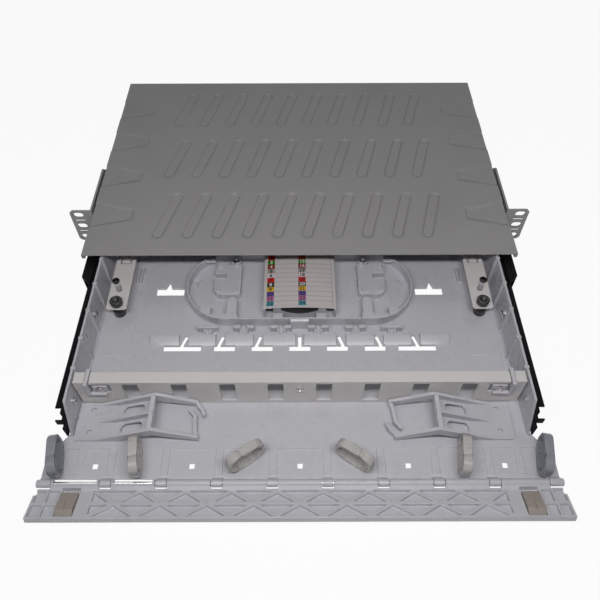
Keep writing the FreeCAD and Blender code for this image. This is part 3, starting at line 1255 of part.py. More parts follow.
def flap():
    shape = fused(flap_panel() + flap_sleeves())
    cuts = [rod(ROD_RADIUS + ROD_FIT, (-2 * SHELF_HALF, HINGE_Y, HINGE_Z),
                (2 * SHELF_HALF, HINGE_Y, HINGE_Z))]
    # Room for the latches to slide
    for side in SIDES:
        wide = LATCH_WIDTH / 2 + LATCH_GAP
        cuts.append(box(side * LATCH_X - wide, side * LATCH_X + wide, LATCH_FRONT - LATCH_GAP,
                        LATCH_BACK + LATCH_TRAVEL + LATCH_GAP, FLAP_PLATE, HINGE_Z + KNUCKLE_RADIUS + 1))
    # Room for the knuckles of the shelf
    for x, width in all_knuckles():
        wide = width / 2 + KNUCKLE_GAP
        x0 = x - wide if abs(x) < KNUCKLE_X[3] + 1 or x > 0 else -2 * FLAP_HALF
        x1 = x + wide if abs(x) < KNUCKLE_X[3] + 1 or x < 0 else 2 * FLAP_HALF
        cuts.append(box(x0, x1, HINGE_Y - KNUCKLE_RADIUS - KNUCKLE_GAP, HINGE_Y + KNUCKLE_RADIUS + 2,
                        FLAP_UNDER - 1, HINGE_Z + KNUCKLE_RADIUS + 1))
    return tilted(shape.cut(Part.makeCompound(cuts)).removeSplitter())


def latch(side):
    """A sliding catch in its pocket: a two-step thumb block with a lip towards the free edge."""
    x0 = side * LATCH_X - LATCH_WIDTH / 2
    x1 = side * LATCH_X + LATCH_WIDTH / 2
    top = FLAP_TOP + LATCH_PROUD
    low = FLAP_PLATE
    mid = LATCH_FRONT + LATCH_MID
    body = prism_yz([(LATCH_FRONT, low), (LATCH_FRONT, FLAP_TOP - LATCH_STEP),
                     (LATCH_FRONT + LATCH_BEVEL, top), (mid, top),
                     (mid, top - LATCH_STEP), (LATCH_BACK, top - LATCH_STEP), (LATCH_BACK, low)], x0, x1)
    middle = side * LATCH_X
    body = body.cut(box(middle - LATCH_GROOVE / 2, middle + LATCH_GROOVE / 2, LATCH_FRONT - 1, mid - 1,
                        top - LATCH_GROOVE, top + 1))
    return tilted(body)


# Cord rings

def cord_ring(x, turn):
    """A standing eight-sided loop with a slit in its top strap, on a round peg."""
    low = SHELF_TOP + RING_FLOAT
    high = low + RING_HEIGHT
    half = RING_LENGTH / 2
    corner = RING_CORNER
    foot = RING_FOOT
    outline = [(-half, low + foot), (-half + foot, low), (half - foot, low), (half, low + foot),
               (half, high - corner), (half - corner, high), (-half + corner, high),
               (-half, high - corner)]
    wall = RING_WALL
    soft = corner - wall * math.tan(math.radians(22.5))
    heel = foot - wall * math.tan(math.radians(22.5))
    inner = half - wall
    inside = [(-inner, low + wall + heel), (-inner + heel, low + wall), (inner - heel, low + wall),
              (inner, low + wall + heel), (inner, high - wall - soft), (inner - soft, high - wall),
              (-inner + soft, high - wall), (-inner, high - wall - soft)]
    loop = prism_yz(outline, -RING_WIDTH / 2, RING_WIDTH / 2)
    hole = prism_yz(inside, -RING_WIDTH, RING_WIDTH)
    lean = RING_SLIT_LEAN
    slit = strip_xy((-RING_WIDTH, -lean - RING_SLIT_SHIFT), (RING_WIDTH, lean - RING_SLIT_SHIFT), RING_SLIT,
                    high - wall - 1, high + 1)
    peg = rod(RING_PEG_RADIUS, (0, 0, BOTTOM + RING_PEG_GAP), (0, 0, low + 1))
    ring = fused([loop.cut(hole).cut(slit), peg])
    ring.rotate(V(0, 0, 0), V(0, 0, 1), turn)
    ring.translate(V(x, RING_Y, 0))
    return ring


# Write every piece

export("top_cover", top_cover())
bracket = rack_bracket()
export("rack_bracket_right", bracket)
export("rack_bracket_left", mirrored(bracket))
export("bracket_screws", Part.makeCompound(bracket_screws()))
for name, make in (("outer_slide", outer_slide), ("middle_slide", middle_slide),
                   ("inner_slide", inner_slide)):
    member = make()
    export(name + "_right", member)
    export(name + "_left", mirrored(member))
export("slide_screws", Part.makeCompound(slide_screws()))
export("tray", tray())
export("adapter_panel", adapter_panel())
export("panel_screws", Part.makeCompound(panel_screws()))
guide = cord_guide()
export("cord_guide_right", guide)
export("cord_guide_left", turned_about_tray_line(guide))
plate = corner_plate()
export("corner_plate_right", plate)
export("corner_plate_left", mirrored(plate))
export("plate_knobs", Part.makeCompound(plate_knobs()))
export("plate_screws", Part.makeCompound(plate_screws()))
export("splice_cassette", splice_cassette())
export("splice_holder", splice_holder())
export("label_card", label_card())
export("cassette_screws", Part.makeCompound(cassette_screws()))
rod_end = SHELF_HALF - ROD_END_GAP
export("hinge_rod", rod(ROD_RADIUS, (-rod_end, HINGE_Y, HINGE_Z), (rod_end, HINGE_Y, HINGE_Z)))
export("flap", flap())
export("latch_right", latch(1))
export("latch_left", latch(-1))
for side, word in ((-1, "left"), (1, "right")):
    for x, turn, place in zip(RING_X, RING_TURNS, ("outer", "mid", "inner")):
        export("cord_ring_" + place + "_" + word, cord_ring(side * x, side * turn))
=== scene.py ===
import json
import math

import bmesh
import bpy
from mathutils import Matrix, Vector


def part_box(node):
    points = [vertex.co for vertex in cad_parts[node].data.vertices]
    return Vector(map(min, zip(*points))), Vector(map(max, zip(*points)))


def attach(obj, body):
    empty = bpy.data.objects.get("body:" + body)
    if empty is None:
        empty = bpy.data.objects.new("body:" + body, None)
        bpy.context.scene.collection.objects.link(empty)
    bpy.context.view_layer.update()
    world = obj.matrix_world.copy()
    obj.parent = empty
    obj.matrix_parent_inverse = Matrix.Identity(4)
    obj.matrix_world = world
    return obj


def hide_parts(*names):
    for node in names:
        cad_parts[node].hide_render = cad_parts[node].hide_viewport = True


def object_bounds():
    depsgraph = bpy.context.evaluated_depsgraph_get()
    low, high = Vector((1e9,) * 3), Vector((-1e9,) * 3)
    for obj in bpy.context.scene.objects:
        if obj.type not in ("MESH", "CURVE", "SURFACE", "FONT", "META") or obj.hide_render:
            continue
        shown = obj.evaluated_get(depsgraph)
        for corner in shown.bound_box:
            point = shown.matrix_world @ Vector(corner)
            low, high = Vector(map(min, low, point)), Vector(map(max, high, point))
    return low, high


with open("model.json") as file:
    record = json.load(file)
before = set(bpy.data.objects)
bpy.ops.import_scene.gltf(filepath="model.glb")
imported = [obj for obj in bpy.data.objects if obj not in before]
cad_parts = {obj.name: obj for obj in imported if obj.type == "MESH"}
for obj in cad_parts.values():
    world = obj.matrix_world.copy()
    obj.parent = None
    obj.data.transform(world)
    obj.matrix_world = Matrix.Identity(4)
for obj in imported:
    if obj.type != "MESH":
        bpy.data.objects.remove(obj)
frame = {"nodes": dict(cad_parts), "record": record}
CAD_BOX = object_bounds()
NODES = frame["nodes"]

# A slide-out fibre drawer, dressed in metres: painted housing, moulded drawer, clear cord rings.
MM = 0.001

# Soft edges of the pieces that come from the frame
WELD = 0.01 * MM
EDGE_ANGLE = math.radians(28)
SHEET_EDGE = 0.25 * MM
MOULD_EDGE = 0.45 * MM
THIN_EDGE = 0.2 * MM
RING_EDGE = 0.6 * MM
EDGE_STEPS = 2
RING_EDGE_STEPS = 3
FACE_WEIGHT = 100

# Screws
HEAD_RADIUS = 3.6 * MM
HEAD_HEIGHT = 1.9 * MM
HEAD_DOME = 0.7 * MM
HEAD_STEPS = 40
HEAD_RINGS = 4
RECESS_LENGTH = 4.2 * MM
RECESS_WIDTH = 1.0 * MM
RECESS_DEPTH = 1.2 * MM

# Knobs that hold down the corner plates
KNOB_RADIUS = 6.0 * MM
KNOB_ROUND = 1.3 * MM
KNOB_WELL = 3.0 * MM
KNOB_WELL_DEPTH = 2.2 * MM
KNOB_WELL_LIP = 0.5 * MM
KNOB_WELL_EASE = 0.4 * MM
KNOB_STEM = 1.8 * MM
KNOB_GAP = 0.02 * MM
KNOB_ARC = range(0, 91, 15)
KNOB_STEPS = 64

# Label card
CARD_THICKNESS = 0.6 * MM
CARD_ROWS = 12
CARD_PITCH = 5.89 * MM
CARD_FIRST = 2.5 * MM
CARD_COLUMN = 7.2 * MM
CARD_COLUMNS = (3.1 * MM, 34.5 * MM)
CARD_NUMBER_SIZE = 5.6 * MM
CARD_NUMBER_STEPS = 3
CARD_STROKE = 0.16 * MM
CARD_INK = 0.04 * MM
CARD_RULE = 0.35 * MM
CARD_RULE_INK = (0.30, 0.14, 0.22)
CARD_COLOURS = ((0.02, 0.10, 0.45), (0.62, 0.06, 0.0), (0.45, 0.0, 0.0), (0.0, 0.17, 0.0), (0.19, 0.0, 0.0),
                (0.30, 0.28, 0.26), (0.62, 0.56, 0.60), (0.50, 0.0, 0.0), (0.006, 0.006, 0.006),
                (0.60, 0.36, 0.0), (0.07, 0.03, 0.23), (0.38, 0.10, 0.23), (0.02, 0.22, 0.26))
CARD_PALE_INK = (3, 4, 8)

# Splice holder
BED_HALF = 18.3 * MM
BED_LOW = -7.4 * MM
BED_BLACK = (0.010, 0.010, 0.011)

# Splice cassette, in plan
CASSETTE_END = 43.2 * MM
CASSETTE_END_AT = 70.5 * MM
CASSETTE_MID = -76.7 * MM
CASSETTE_STRAIGHT = 66.0 * MM
CASSETTE_REACH = 60.0 * MM
CUT_OVER = 1.0 * MM
ROUND_STEPS = 48

# Pressed beads of the cover
BEAD_HALF = 6.0 * MM
BEAD_RUN = 27.5 * MM
BEAD_SLANT = math.radians(14.7)
BEAD_PITCH = 30.4 * MM
BEAD_COLUMNS = 10
BEAD_ROW_PITCH = 90.4 * MM
BEAD_ROWS = 3
TONGUE_LENGTH = 42.0 * MM
TONGUE_BASE = 34.0 * MM
TONGUE_TIP = 15.0 * MM
TONGUE_PITCH = 59.7 * MM
TONGUES = 4
BEAD_SLOPE = 1.5 * MM
BEAD_FALL = 1.3 * MM

# Cord rings
RING_SLIT = 0.35 * MM
RING_SLIT_AT = -4.0 * MM
RING_SLIT_SLANT = 0.25
RING_WALL = 3.0 * MM
RING_WIDTH = 7.5 * MM
RING_LENGTH = 34.0 * MM
RING_HEAD_CORNER = 5.0 * MM
RING_FOOT_CORNER = 8.0 * MM
RING_CORNER_ANGLE = math.radians(22.5)
RING_BEND = 2.2 * MM
RING_BEND_EASE = 4
BEND_SHARE = 0.45
RING_PEG = 3.0 * MM
PEG_GAP = 0.2 * MM
PEG_STEPS = 24

# Punched pips beside the adapter windows
WINDOWS = 8
WINDOW_PITCH = 41.7 * MM
PIP_OUT = 8.8 * MM
PIP_HEIGHTS = (9.0 * MM, -2.4 * MM, -12.6 * MM)
PIP_TOP = 0.6 * MM
PIP_BASE = 0.9 * MM
PIP_RISE = 0.3 * MM
PIP_STEPS = 20

# Skin of mouldings and paint: scales of its noise, and the bands of noise in which an effect comes in
SLOW_SCALE = 7.0
SLOW_SHARE = 0.6
CLOUD_SCALE = 55.0
CLOUD_SHARE = 0.4
TONE_BAND = (0.35, 0.65)
GLOSS_BAND = (0.3, 0.7)

# Marks of use
HAIR_SCALE = 60.0
HAIR_ALONG = (0.6, 14.0, 6.0)
HAIR_ALONG_BAND = (0.70, 0.74)
HAIR_ACROSS = (14.0, 0.5, 6.0)
HAIR_ACROSS_BAND = (0.71, 0.75)
HAIR_AREA_SCALE = 16.0
HAIR_AREA_BAND = (0.52, 0.68)
HAIR_DEPTH = 0.6
SPECK_SCALE = 130.0
SPECK_BAND = (0.05, 0.09)
SPECK_AREA_SCALE = 24.0
SPECK_AREA_BAND = (0.56, 0.60)
SPECK_DULL = 0.3
SMUDGE_SCALE = 11.0
SMUDGE_BAND = (0.5, 0.72)
SMUDGE_SHARE = 0.5
SMUDGE_DULL = 0.08

# Clear plastic
FLOW_SCALE = 160.0
FLOW_STRETCH = (1.0, 0.35, 1.0)
FLOW_STRENGTH = 0.03
FLOW_DEPTH = 0.1 * MM
CLEAR_IOR = 1.46

# Camera, fitted to the picture
CAMERA_PLACE = Vector((0.35, -457.8, 465.8)) * MM
CAMERA_TILT = math.radians(52.688)
CAMERA_ROLL = math.radians(-0.182)
CAMERA_LENS = 36.156
CAMERA_SENSOR = 36.0
CAMERA_NEAR = 0.01
CAMERA_FAR = 50.0

# Studio; each lamp is its name, place, target, width, height and power
FLOOR_GAP = 0.2 * MM
FLOOR_HALF = 6.0
FLOOR_PAPER = (0.9, 0.9, 0.9, 1.0)
FLOOR_GLOW = 0.94
BACKDROP = (1.0, 1.0, 1.0, 1.0)
WORLD_FILL = (0.95, 0.97, 1.0, 1.0)
WORLD_STRENGTH = 0.035
LAMPS = (
    ("front_key", (0.0, -0.395, 0.53), (0.0, -0.08, 0.0), 0.55, 0.045, 2.45),
    ("top_fill", (0.0, 0.1, 1.3), (0.0, 0.0, 0.0), 1.2, 1.2, 0.2),
    ("back_fill", (0.9, 1.2, 0.7), (0.0, 0.1, 0.0), 0.9, 0.9, 0.3),
    ("side_fill", (-1.3, 0.1, 0.6), (0.0, 0.0, 0.0), 0.9, 0.9, 0.25),
)


# Mesh helpers

def add_piece(name, data):
    piece = bpy.data.objects.new(name, data)
    bpy.context.scene.collection.objects.link(piece)
    return piece


def mesh_from(work, name):
    """The mesh of a finished bmesh, which is freed."""
    mesh = bpy.data.meshes.new(name)
    work.to_mesh(mesh)
    work.free()
    return mesh


def settled(piece):
    """The shape of a piece with its modifiers applied, as a plain mesh."""
    bpy.context.view_layer.update()
    graph = bpy.context.evaluated_depsgraph_get()
    return bpy.data.meshes.new_from_object(piece.evaluated_get(graph))


def smooth(mesh):
    for face in mesh.polygons:
        face.use_smooth = True


def extent(points):
    """The low and the high corner of the box round some points."""
    return Vector(map(min, zip(*points))), Vector(map(max, zip(*points)))


# Node helpers

def add_node(tree, kind, x=0, y=0, **settings):
    node = tree.nodes.new(kind)
    node.location = (x, y)
    for name, value in settings.items():
        setattr(node, name, value)
    return node


def link(tree, out_socket, in_socket):
    tree.links.new(out_socket, in_socket)


def new_group(name, kind, inputs, outputs):
    """An empty node group with its interface; each entry is a name, a socket type and a default."""
    tree = bpy.data.node_groups.new(name, kind)
    for label, socket, value in inputs:
        made = tree.interface.new_socket(label, in_out="INPUT", socket_type=socket)
        if value is not None:
            made.default_value = value
    for label, socket in outputs:
        tree.interface.new_socket(label, in_out="OUTPUT", socket_type=socket)
    start = tree.nodes.new("NodeGroupInput")
    end = tree.nodes.new("NodeGroupOutput")
    start.location = (-900, 0)
    end.location = (700, 0)
    return tree, start, end


def maths(tree, operation, first, second=None, clamp=False):
    """A Math node; each operand is a socket or a number. Returns its output socket."""
    node = add_node(tree, "ShaderNodeMath", operation=operation, use_clamp=clamp)
    for index, value in enumerate((first, second)):
        if value is None:
            continue
        if isinstance(value, (int, float)):
            node.inputs[index].default_value = value
        else:
            link(tree, value, node.inputs[index])
    return node.outputs[0]


def mix_colour(tree, factor, first, second, blend="MIX"):
    node = add_node(tree, "ShaderNodeMix", data_type="RGBA", blend_type=blend)
    for socket, value in ((node.inputs["Factor"], factor), (node.inputs[6], first), (node.inputs[7], second)):
        if isinstance(value, bpy.types.NodeSocket):
            link(tree, value, socket)
        elif isinstance(value, tuple):
            socket.default_value = value + (1.0,)
        else:
            socket.default_value = value
    return node.outputs[2]


def noise(tree, coordinates, scale, detail=3.0, roughness=0.5, stretch=None):
    if stretch:
        mapping = add_node(tree, "ShaderNodeMapping")
        mapping.inputs["Scale"].default_value = stretch
        link(tree, coordinates, mapping.inputs["Vector"])
        coordinates = mapping.outputs["Vector"]
    node = add_node(tree, "ShaderNodeTexNoise")
    node.inputs["Scale"].default_value = scale
    node.inputs["Detail"].default_value = detail
    node.inputs["Roughness"].default_value = roughness
    link(tree, coordinates, node.inputs["Vector"])
    return node.outputs["Fac"]


def spread(tree, value, low, high, to_low=0.0, to_high=1.0):
    node = add_node(tree, "ShaderNodeMapRange")
    for name, number in (("From Min", low), ("From Max", high), ("To Min", to_low), ("To Max", to_high)):
        socket = node.inputs[name]
        if isinstance(number, bpy.types.NodeSocket):
            link(tree, number, socket)
        else:
            socket.default_value = number
    link(tree, value, node.inputs["Value"])
    return node.outputs["Result"]


# Shared surface effects

def moulding_group():
    """Moulded or sprayed skin: slow tone drift, fine grain and a gloss that varies with the finer noise of
    the drift.
    """
    tree, start, end = new_group(
        "moulded_skin", "ShaderNodeTree",
        [("Vector", "NodeSocketVector", None), ("Colour", "NodeSocketColor", None),
         ("Gloss", "NodeSocketFloat", 0.4), ("Gloss Drift", "NodeSocketFloat", 0.08),
         ("Tone Drift", "NodeSocketFloat", 0.04), ("Grain Scale", "NodeSocketFloat", 900.0)],
        [("Colour", "NodeSocketColor"), ("Roughness", "NodeSocketFloat"), ("Height", "NodeSocketFloat")])
    vector = start.outputs["Vector"]
    slow = noise(tree, vector, SLOW_SCALE, detail=3.0)
    cloud = noise(tree, vector, CLOUD_SCALE, detail=4.0, roughness=0.6)
    fine = add_node(tree, "ShaderNodeTexNoise")
    fine.inputs["Detail"].default_value = 2.0
    link(tree, vector, fine.inputs["Vector"])
    link(tree, start.outputs["Grain Scale"], fine.inputs["Scale"])
    drift = maths(tree, "ADD", maths(tree, "MULTIPLY", slow, SLOW_SHARE),
                  maths(tree, "MULTIPLY", cloud, CLOUD_SHARE))
    low = maths(tree, "SUBTRACT", 1.0, start.outputs["Tone Drift"])
    high = maths(tree, "ADD", 1.0, start.outputs["Tone Drift"])
    gain = spread(tree, drift, *TONE_BAND, low, high)
    toned = add_node(tree, "ShaderNodeVectorMath", operation="SCALE")
    link(tree, start.outputs["Colour"], toned.inputs[0])
    link(tree, gain, toned.inputs["Scale"])
    link(tree, toned.outputs[0], end.inputs["Colour"])
    swing = spread(tree, cloud, *GLOSS_BAND, -1.0, 1.0)
    swing = maths(tree, "MULTIPLY", swing, start.outputs["Gloss Drift"])
    rough = maths(tree, "ADD", start.outputs["Gloss"], swing)
    link(tree, rough, end.inputs["Roughness"])
    link(tree, fine.outputs["Fac"], end.inputs["Height"])
    return tree


def handling_group():
    """Marks of use: sparse hair scratches, dust specks and faint smudges, as masks."""
    tree, start, end = new_group(
        "handling_marks", "ShaderNodeTree",
        [("Vector", "NodeSocketVector", None), ("Scratches", "NodeSocketFloat", 0.5),
         ("Dust", "NodeSocketFloat", 0.5)],
        [("Scratch", "NodeSocketFloat"), ("Dust", "NodeSocketFloat"), ("Smudge", "NodeSocketFloat")])
    vector = start.outputs["Vector"]
    along = noise(tree, vector, HAIR_SCALE, detail=2.0, stretch=HAIR_ALONG)
    across = noise(tree, vector, HAIR_SCALE, detail=2.0, stretch=HAIR_ACROSS)
    where = spread(tree, noise(tree, vector, HAIR_AREA_SCALE, detail=2.0), *HAIR_AREA_BAND)
    hair = maths(tree, "MAXIMUM", spread(tree, along, *HAIR_ALONG_BAND),
                 spread(tree, across, *HAIR_ACROSS_BAND))
    hair = maths(tree, "MULTIPLY", hair, where)
    scratch = maths(tree, "MULTIPLY", hair, start.outputs["Scratches"], clamp=True)
    link(tree, scratch, end.inputs["Scratch"])
    speck = add_node(tree, "ShaderNodeTexVoronoi")
    speck.inputs["Scale"].default_value = SPECK_SCALE
    link(tree, vector, speck.inputs["Vector"])
    dot = spread(tree, speck.outputs["Distance"], *SPECK_BAND, 1.0, 0.0)
    few = spread(tree, noise(tree, vector, SPECK_AREA_SCALE, detail=1.0), *SPECK_AREA_BAND)
    dust = maths(tree, "MULTIPLY", maths(tree, "MULTIPLY", dot, few), start.outputs["Dust"], clamp=True)
    link(tree, dust, end.inputs["Dust"])
    smudge = spread(tree, noise(tree, vector, SMUDGE_SCALE, detail=4.0, roughness=0.65), *SMUDGE_BAND)
    link(tree, smudge, end.inputs["Smudge"])
    return tree


SKIN = moulding_group()
MARKS = handling_group()


def start_material(name):
    material = bpy.data.materials.new(name)
    material.use_nodes = True
    tree = material.node_tree
    tree.nodes.clear()
    shader = add_node(tree, "ShaderNodeBsdfPrincipled", 300, 0)
    out = add_node(tree, "ShaderNodeOutputMaterial", 600, 0)
    link(tree, shader.outputs["BSDF"], out.inputs["Surface"])
    where = add_node(tree, "ShaderNodeTexCoord", -900, 0)
    return material, tree, shader, where.outputs["Object"]


def use_group(tree, group, vector, **values):
    node = add_node(tree, "ShaderNodeGroup", node_tree=group)
    link(tree, vector, node.inputs["Vector"])
    for name, value in values.items():
        node.inputs[name.replace("_", " ").title()].default_value = value
    return node


def finish_material(name, colour, gloss, drift=0.06, tone=0.03, grain=900.0, bump=0.02,
                    grain_depth=0.05 * MM, scratches=0.4, scratch_tint=(0.5, 0.5, 0.5), dust=0.3,
                    dust_tint=(0.45, 0.43, 0.40), smudge_tint=None, paint=None, press=None, **sockets):
    """A worn surface: skin tone and grain, then smudges, dust and scratches over it.

    paint takes the tree, the coordinates and the toned colour, and gives back a printed colour.
    press takes the tree and the coordinates, and gives back the height of a pressed form.
    Other values go to the shader's own sockets."""
    material, tree, shader, vector = start_material(name)
    skin = use_group(tree, SKIN, vector, colour=colour + (1.0,), gloss=gloss, gloss_drift=drift,
                     tone_drift=tone, grain_scale=grain)
    marks = use_group(tree, MARKS, vector, scratches=scratches, dust=dust)
    tint = skin.outputs["Colour"]
    if paint:
        tint = paint(tree, vector, tint)
    if smudge_tint:
        faint = maths(tree, "MULTIPLY", marks.outputs["Smudge"], SMUDGE_SHARE)
        tint = mix_colour(tree, faint, tint, smudge_tint, "MULTIPLY")
    tint = mix_colour(tree, marks.outputs["Dust"], tint, dust_tint)
    tint = mix_colour(tree, marks.outputs["Scratch"], tint, scratch_tint)
    link(tree, tint, shader.inputs["Base Color"])
    smudged = maths(tree, "MULTIPLY", marks.outputs["Smudge"], SMUDGE_DULL)
    dusty = maths(tree, "MULTIPLY", marks.outputs["Dust"], SPECK_DULL)
    dulled = maths(tree, "ADD", skin.outputs["Roughness"], smudged)
    link(tree, maths(tree, "ADD", dulled, dusty, clamp=True), shader.inputs["Roughness"])
    relief = add_node(tree, "ShaderNodeBump")
    relief.inputs["Strength"].default_value = bump
    relief.inputs["Distance"].default_value = grain_depth
    hair = maths(tree, "MULTIPLY", marks.outputs["Scratch"], HAIR_DEPTH)
    link(tree, maths(tree, "SUBTRACT", skin.outputs["Height"], hair), relief.inputs["Height"])
    if press:
        swage = add_node(tree, "ShaderNodeBump")
        swage.inputs["Distance"].default_value = BEAD_FALL
        link(tree, press(tree, vector), swage.inputs["Height"])
        link(tree, swage.outputs["Normal"], relief.inputs["Normal"])
    link(tree, relief.outputs["Normal"], shader.inputs["Normal"])
    for label, value in sockets.items():
        shader.inputs[label.replace("_", " ")].default_value = value
    return material


def card_print(tree, vector, paper):
    """Rows of colour in two columns, and thin ruled lines beside them, on the card's own place."""
    low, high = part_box("label_card")
    split = add_node(tree, "ShaderNodeSeparateXYZ")
    link(tree, vector, split.inputs[0])
    across = maths(tree, "SUBTRACT", split.outputs["X"], low.x)
    along = maths(tree, "SUBTRACT", split.outputs["Y"], low.y + CARD_FIRST)
    row = maths(tree, "DIVIDE", along, CARD_PITCH)
    whole = CARD_ROWS + 1
    ramp = add_node(tree, "ShaderNodeValToRGB")
    ramp.color_ramp.interpolation = "CONSTANT"
    steps = ramp.color_ramp.elements
    for index in range(whole):
        place = index / whole
        step = steps[index] if index < 2 else steps.new(place)
        step.position = place
        step.color = CARD_COLOURS[CARD_ROWS - index] + (1.0,)
    link(tree, maths(tree, "DIVIDE", row, whole), ramp.inputs["Fac"])

    def between(value, start, stop):
        over = maths(tree, "GREATER_THAN", value, start)
        return maths(tree, "MULTIPLY", over, maths(tree, "LESS_THAN", value, stop))

    on_rows = between(row, 0.0, whole)
    fields = None
    rules = None
    stops = (CARD_COLUMNS[1], high.x - low.x - CARD_COLUMNS[0])
    near_line = maths(tree, "PINGPONG", row, 0.5)
    thin = maths(tree, "LESS_THAN", near_line, CARD_RULE / CARD_PITCH / 2)
    for start, stop in zip(CARD_COLUMNS, stops):
        field = between(across, start, start + CARD_COLUMN)
        line = maths(tree, "MULTIPLY", between(across, start + CARD_COLUMN, stop - CARD_RULE), thin)
        edge = between(across, stop - CARD_RULE, stop)
        line = maths(tree, "MAXIMUM", line, edge)
        fields = field if fields is None else maths(tree, "MAXIMUM", fields, field)
        rules = line if rules is None else maths(tree, "MAXIMUM", rules, line)
    printed = mix_colour(tree, maths(tree, "MULTIPLY", rules, on_rows), paper, CARD_RULE_INK)
    return mix_colour(tree, maths(tree, "MULTIPLY", fields, on_rows), printed, ramp.outputs["Color"])


def pressed_beads(tree, vector):
    """How deep the cover's sheet is pressed: rows of slanted beads, and tongues in from its sides."""
    low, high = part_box("top_cover")
    split = add_node(tree, "ShaderNodeSeparateXYZ")
    link(tree, vector, split.inputs[0])
    x = split.outputs["X"]
    y = maths(tree, "SUBTRACT", split.outputs["Y"], (low.y + high.y) / 2)
    from_middle = maths(tree, "ABSOLUTE", x)
    from_row = maths(tree, "ABSOLUTE", y)

    def repeated(place, pitch, count):
        """The distance from the nearest of evenly spaced centres about the middle."""
        shifted = maths(tree, "ADD", place, pitch / 2 * (count % 2))
        return maths(tree, "SUBTRACT", maths(tree, "FLOORED_MODULO", shifted, pitch), pitch / 2)

    def sunk(distance, limit, reach):
        inside = maths(tree, "LESS_THAN", limit, reach)
        return maths(tree, "MULTIPLY", spread(tree, distance, BEAD_SLOPE, -BEAD_SLOPE), inside)

    side = repeated(x, BEAD_PITCH, BEAD_COLUMNS)
    ahead = repeated(y, BEAD_ROW_PITCH, BEAD_ROWS)
    lean, rise = math.sin(BEAD_SLANT), math.cos(BEAD_SLANT)
    along = maths(tree, "ADD", maths(tree, "MULTIPLY", side, lean), maths(tree, "MULTIPLY", ahead, rise))
    across = maths(tree, "SUBTRACT", maths(tree, "MULTIPLY", side, rise),
                   maths(tree, "MULTIPLY", ahead, lean))
    past = maths(tree, "MAXIMUM", maths(tree, "SUBTRACT", maths(tree, "ABSOLUTE", along), BEAD_RUN), 0.0)
    spine = maths(tree, "SQRT", maths(tree, "ADD", maths(tree, "MULTIPLY", across, across),
                                      maths(tree, "MULTIPLY", past, past)))
    beads = sunk(maths(tree, "SUBTRACT", spine, BEAD_HALF), from_middle, BEAD_PITCH * BEAD_COLUMNS / 2)
    in_rows = maths(tree, "LESS_THAN", from_row, BEAD_ROW_PITCH * BEAD_ROWS / 2)
    beads = maths(tree, "MULTIPLY", beads, in_rows)

    inward = maths(tree, "SUBTRACT", from_middle, high.x - TONGUE_LENGTH)
    widening = (TONGUE_BASE - TONGUE_TIP) / 2 / TONGUE_LENGTH
    half = maths(tree, "ADD", maths(tree, "MULTIPLY", inward, widening), TONGUE_TIP / 2)
    beside = maths(tree, "ABSOLUTE", repeated(y, TONGUE_PITCH, TONGUES))
    rim = maths(tree, "MAXIMUM", maths(tree, "SUBTRACT", beside, half),
                maths(tree, "MULTIPLY", inward, -1.0))
    tongues = sunk(rim, from_row, TONGUE_PITCH * TONGUES / 2)
    return maths(tree, "MULTIPLY", maths(tree, "MAXIMUM", beads, tongues), -1.0)


def holder_bed(tree, vector, pale):
    """The soft black bed in the middle of the holder, on its pale moulded base."""
    split = add_node(tree, "ShaderNodeSeparateXYZ")
    link(tree, vector, split.inputs[0])
    inside = maths(tree, "LESS_THAN", maths(tree, "ABSOLUTE", split.outputs["X"]), BED_HALF)
    raised = maths(tree, "GREATER_THAN", split.outputs["Z"], BED_LOW)
    return mix_colour(tree, maths(tree, "MULTIPLY", inside, raised), pale, BED_BLACK)


def clear_plastic(name, colour, clearness):
    """Natural, slightly milky plastic with faint flow lines."""
    material, tree, shader, vector = start_material(name)
    skin = use_group(tree, SKIN, vector, colour=colour + (1.0,), gloss=0.3, gloss_drift=0.07,
                     tone_drift=0.06, grain_scale=500.0)
    link(tree, skin.outputs["Colour"], shader.inputs["Base Color"])
    link(tree, skin.outputs["Roughness"], shader.inputs["Roughness"])
    relief = add_node(tree, "ShaderNodeBump")
    relief.inputs["Strength"].default_value = FLOW_STRENGTH
    relief.inputs["Distance"].default_value = FLOW_DEPTH
    flow = noise(tree, vector, FLOW_SCALE, detail=3.0, stretch=FLOW_STRETCH)
    link(tree, flow, relief.inputs["Height"])
    link(tree, relief.outputs["Normal"], shader.inputs["Normal"])
    shader.inputs["IOR"].default_value = CLEAR_IOR
    shader.inputs["Transmission Weight"].default_value = clearness
    return material


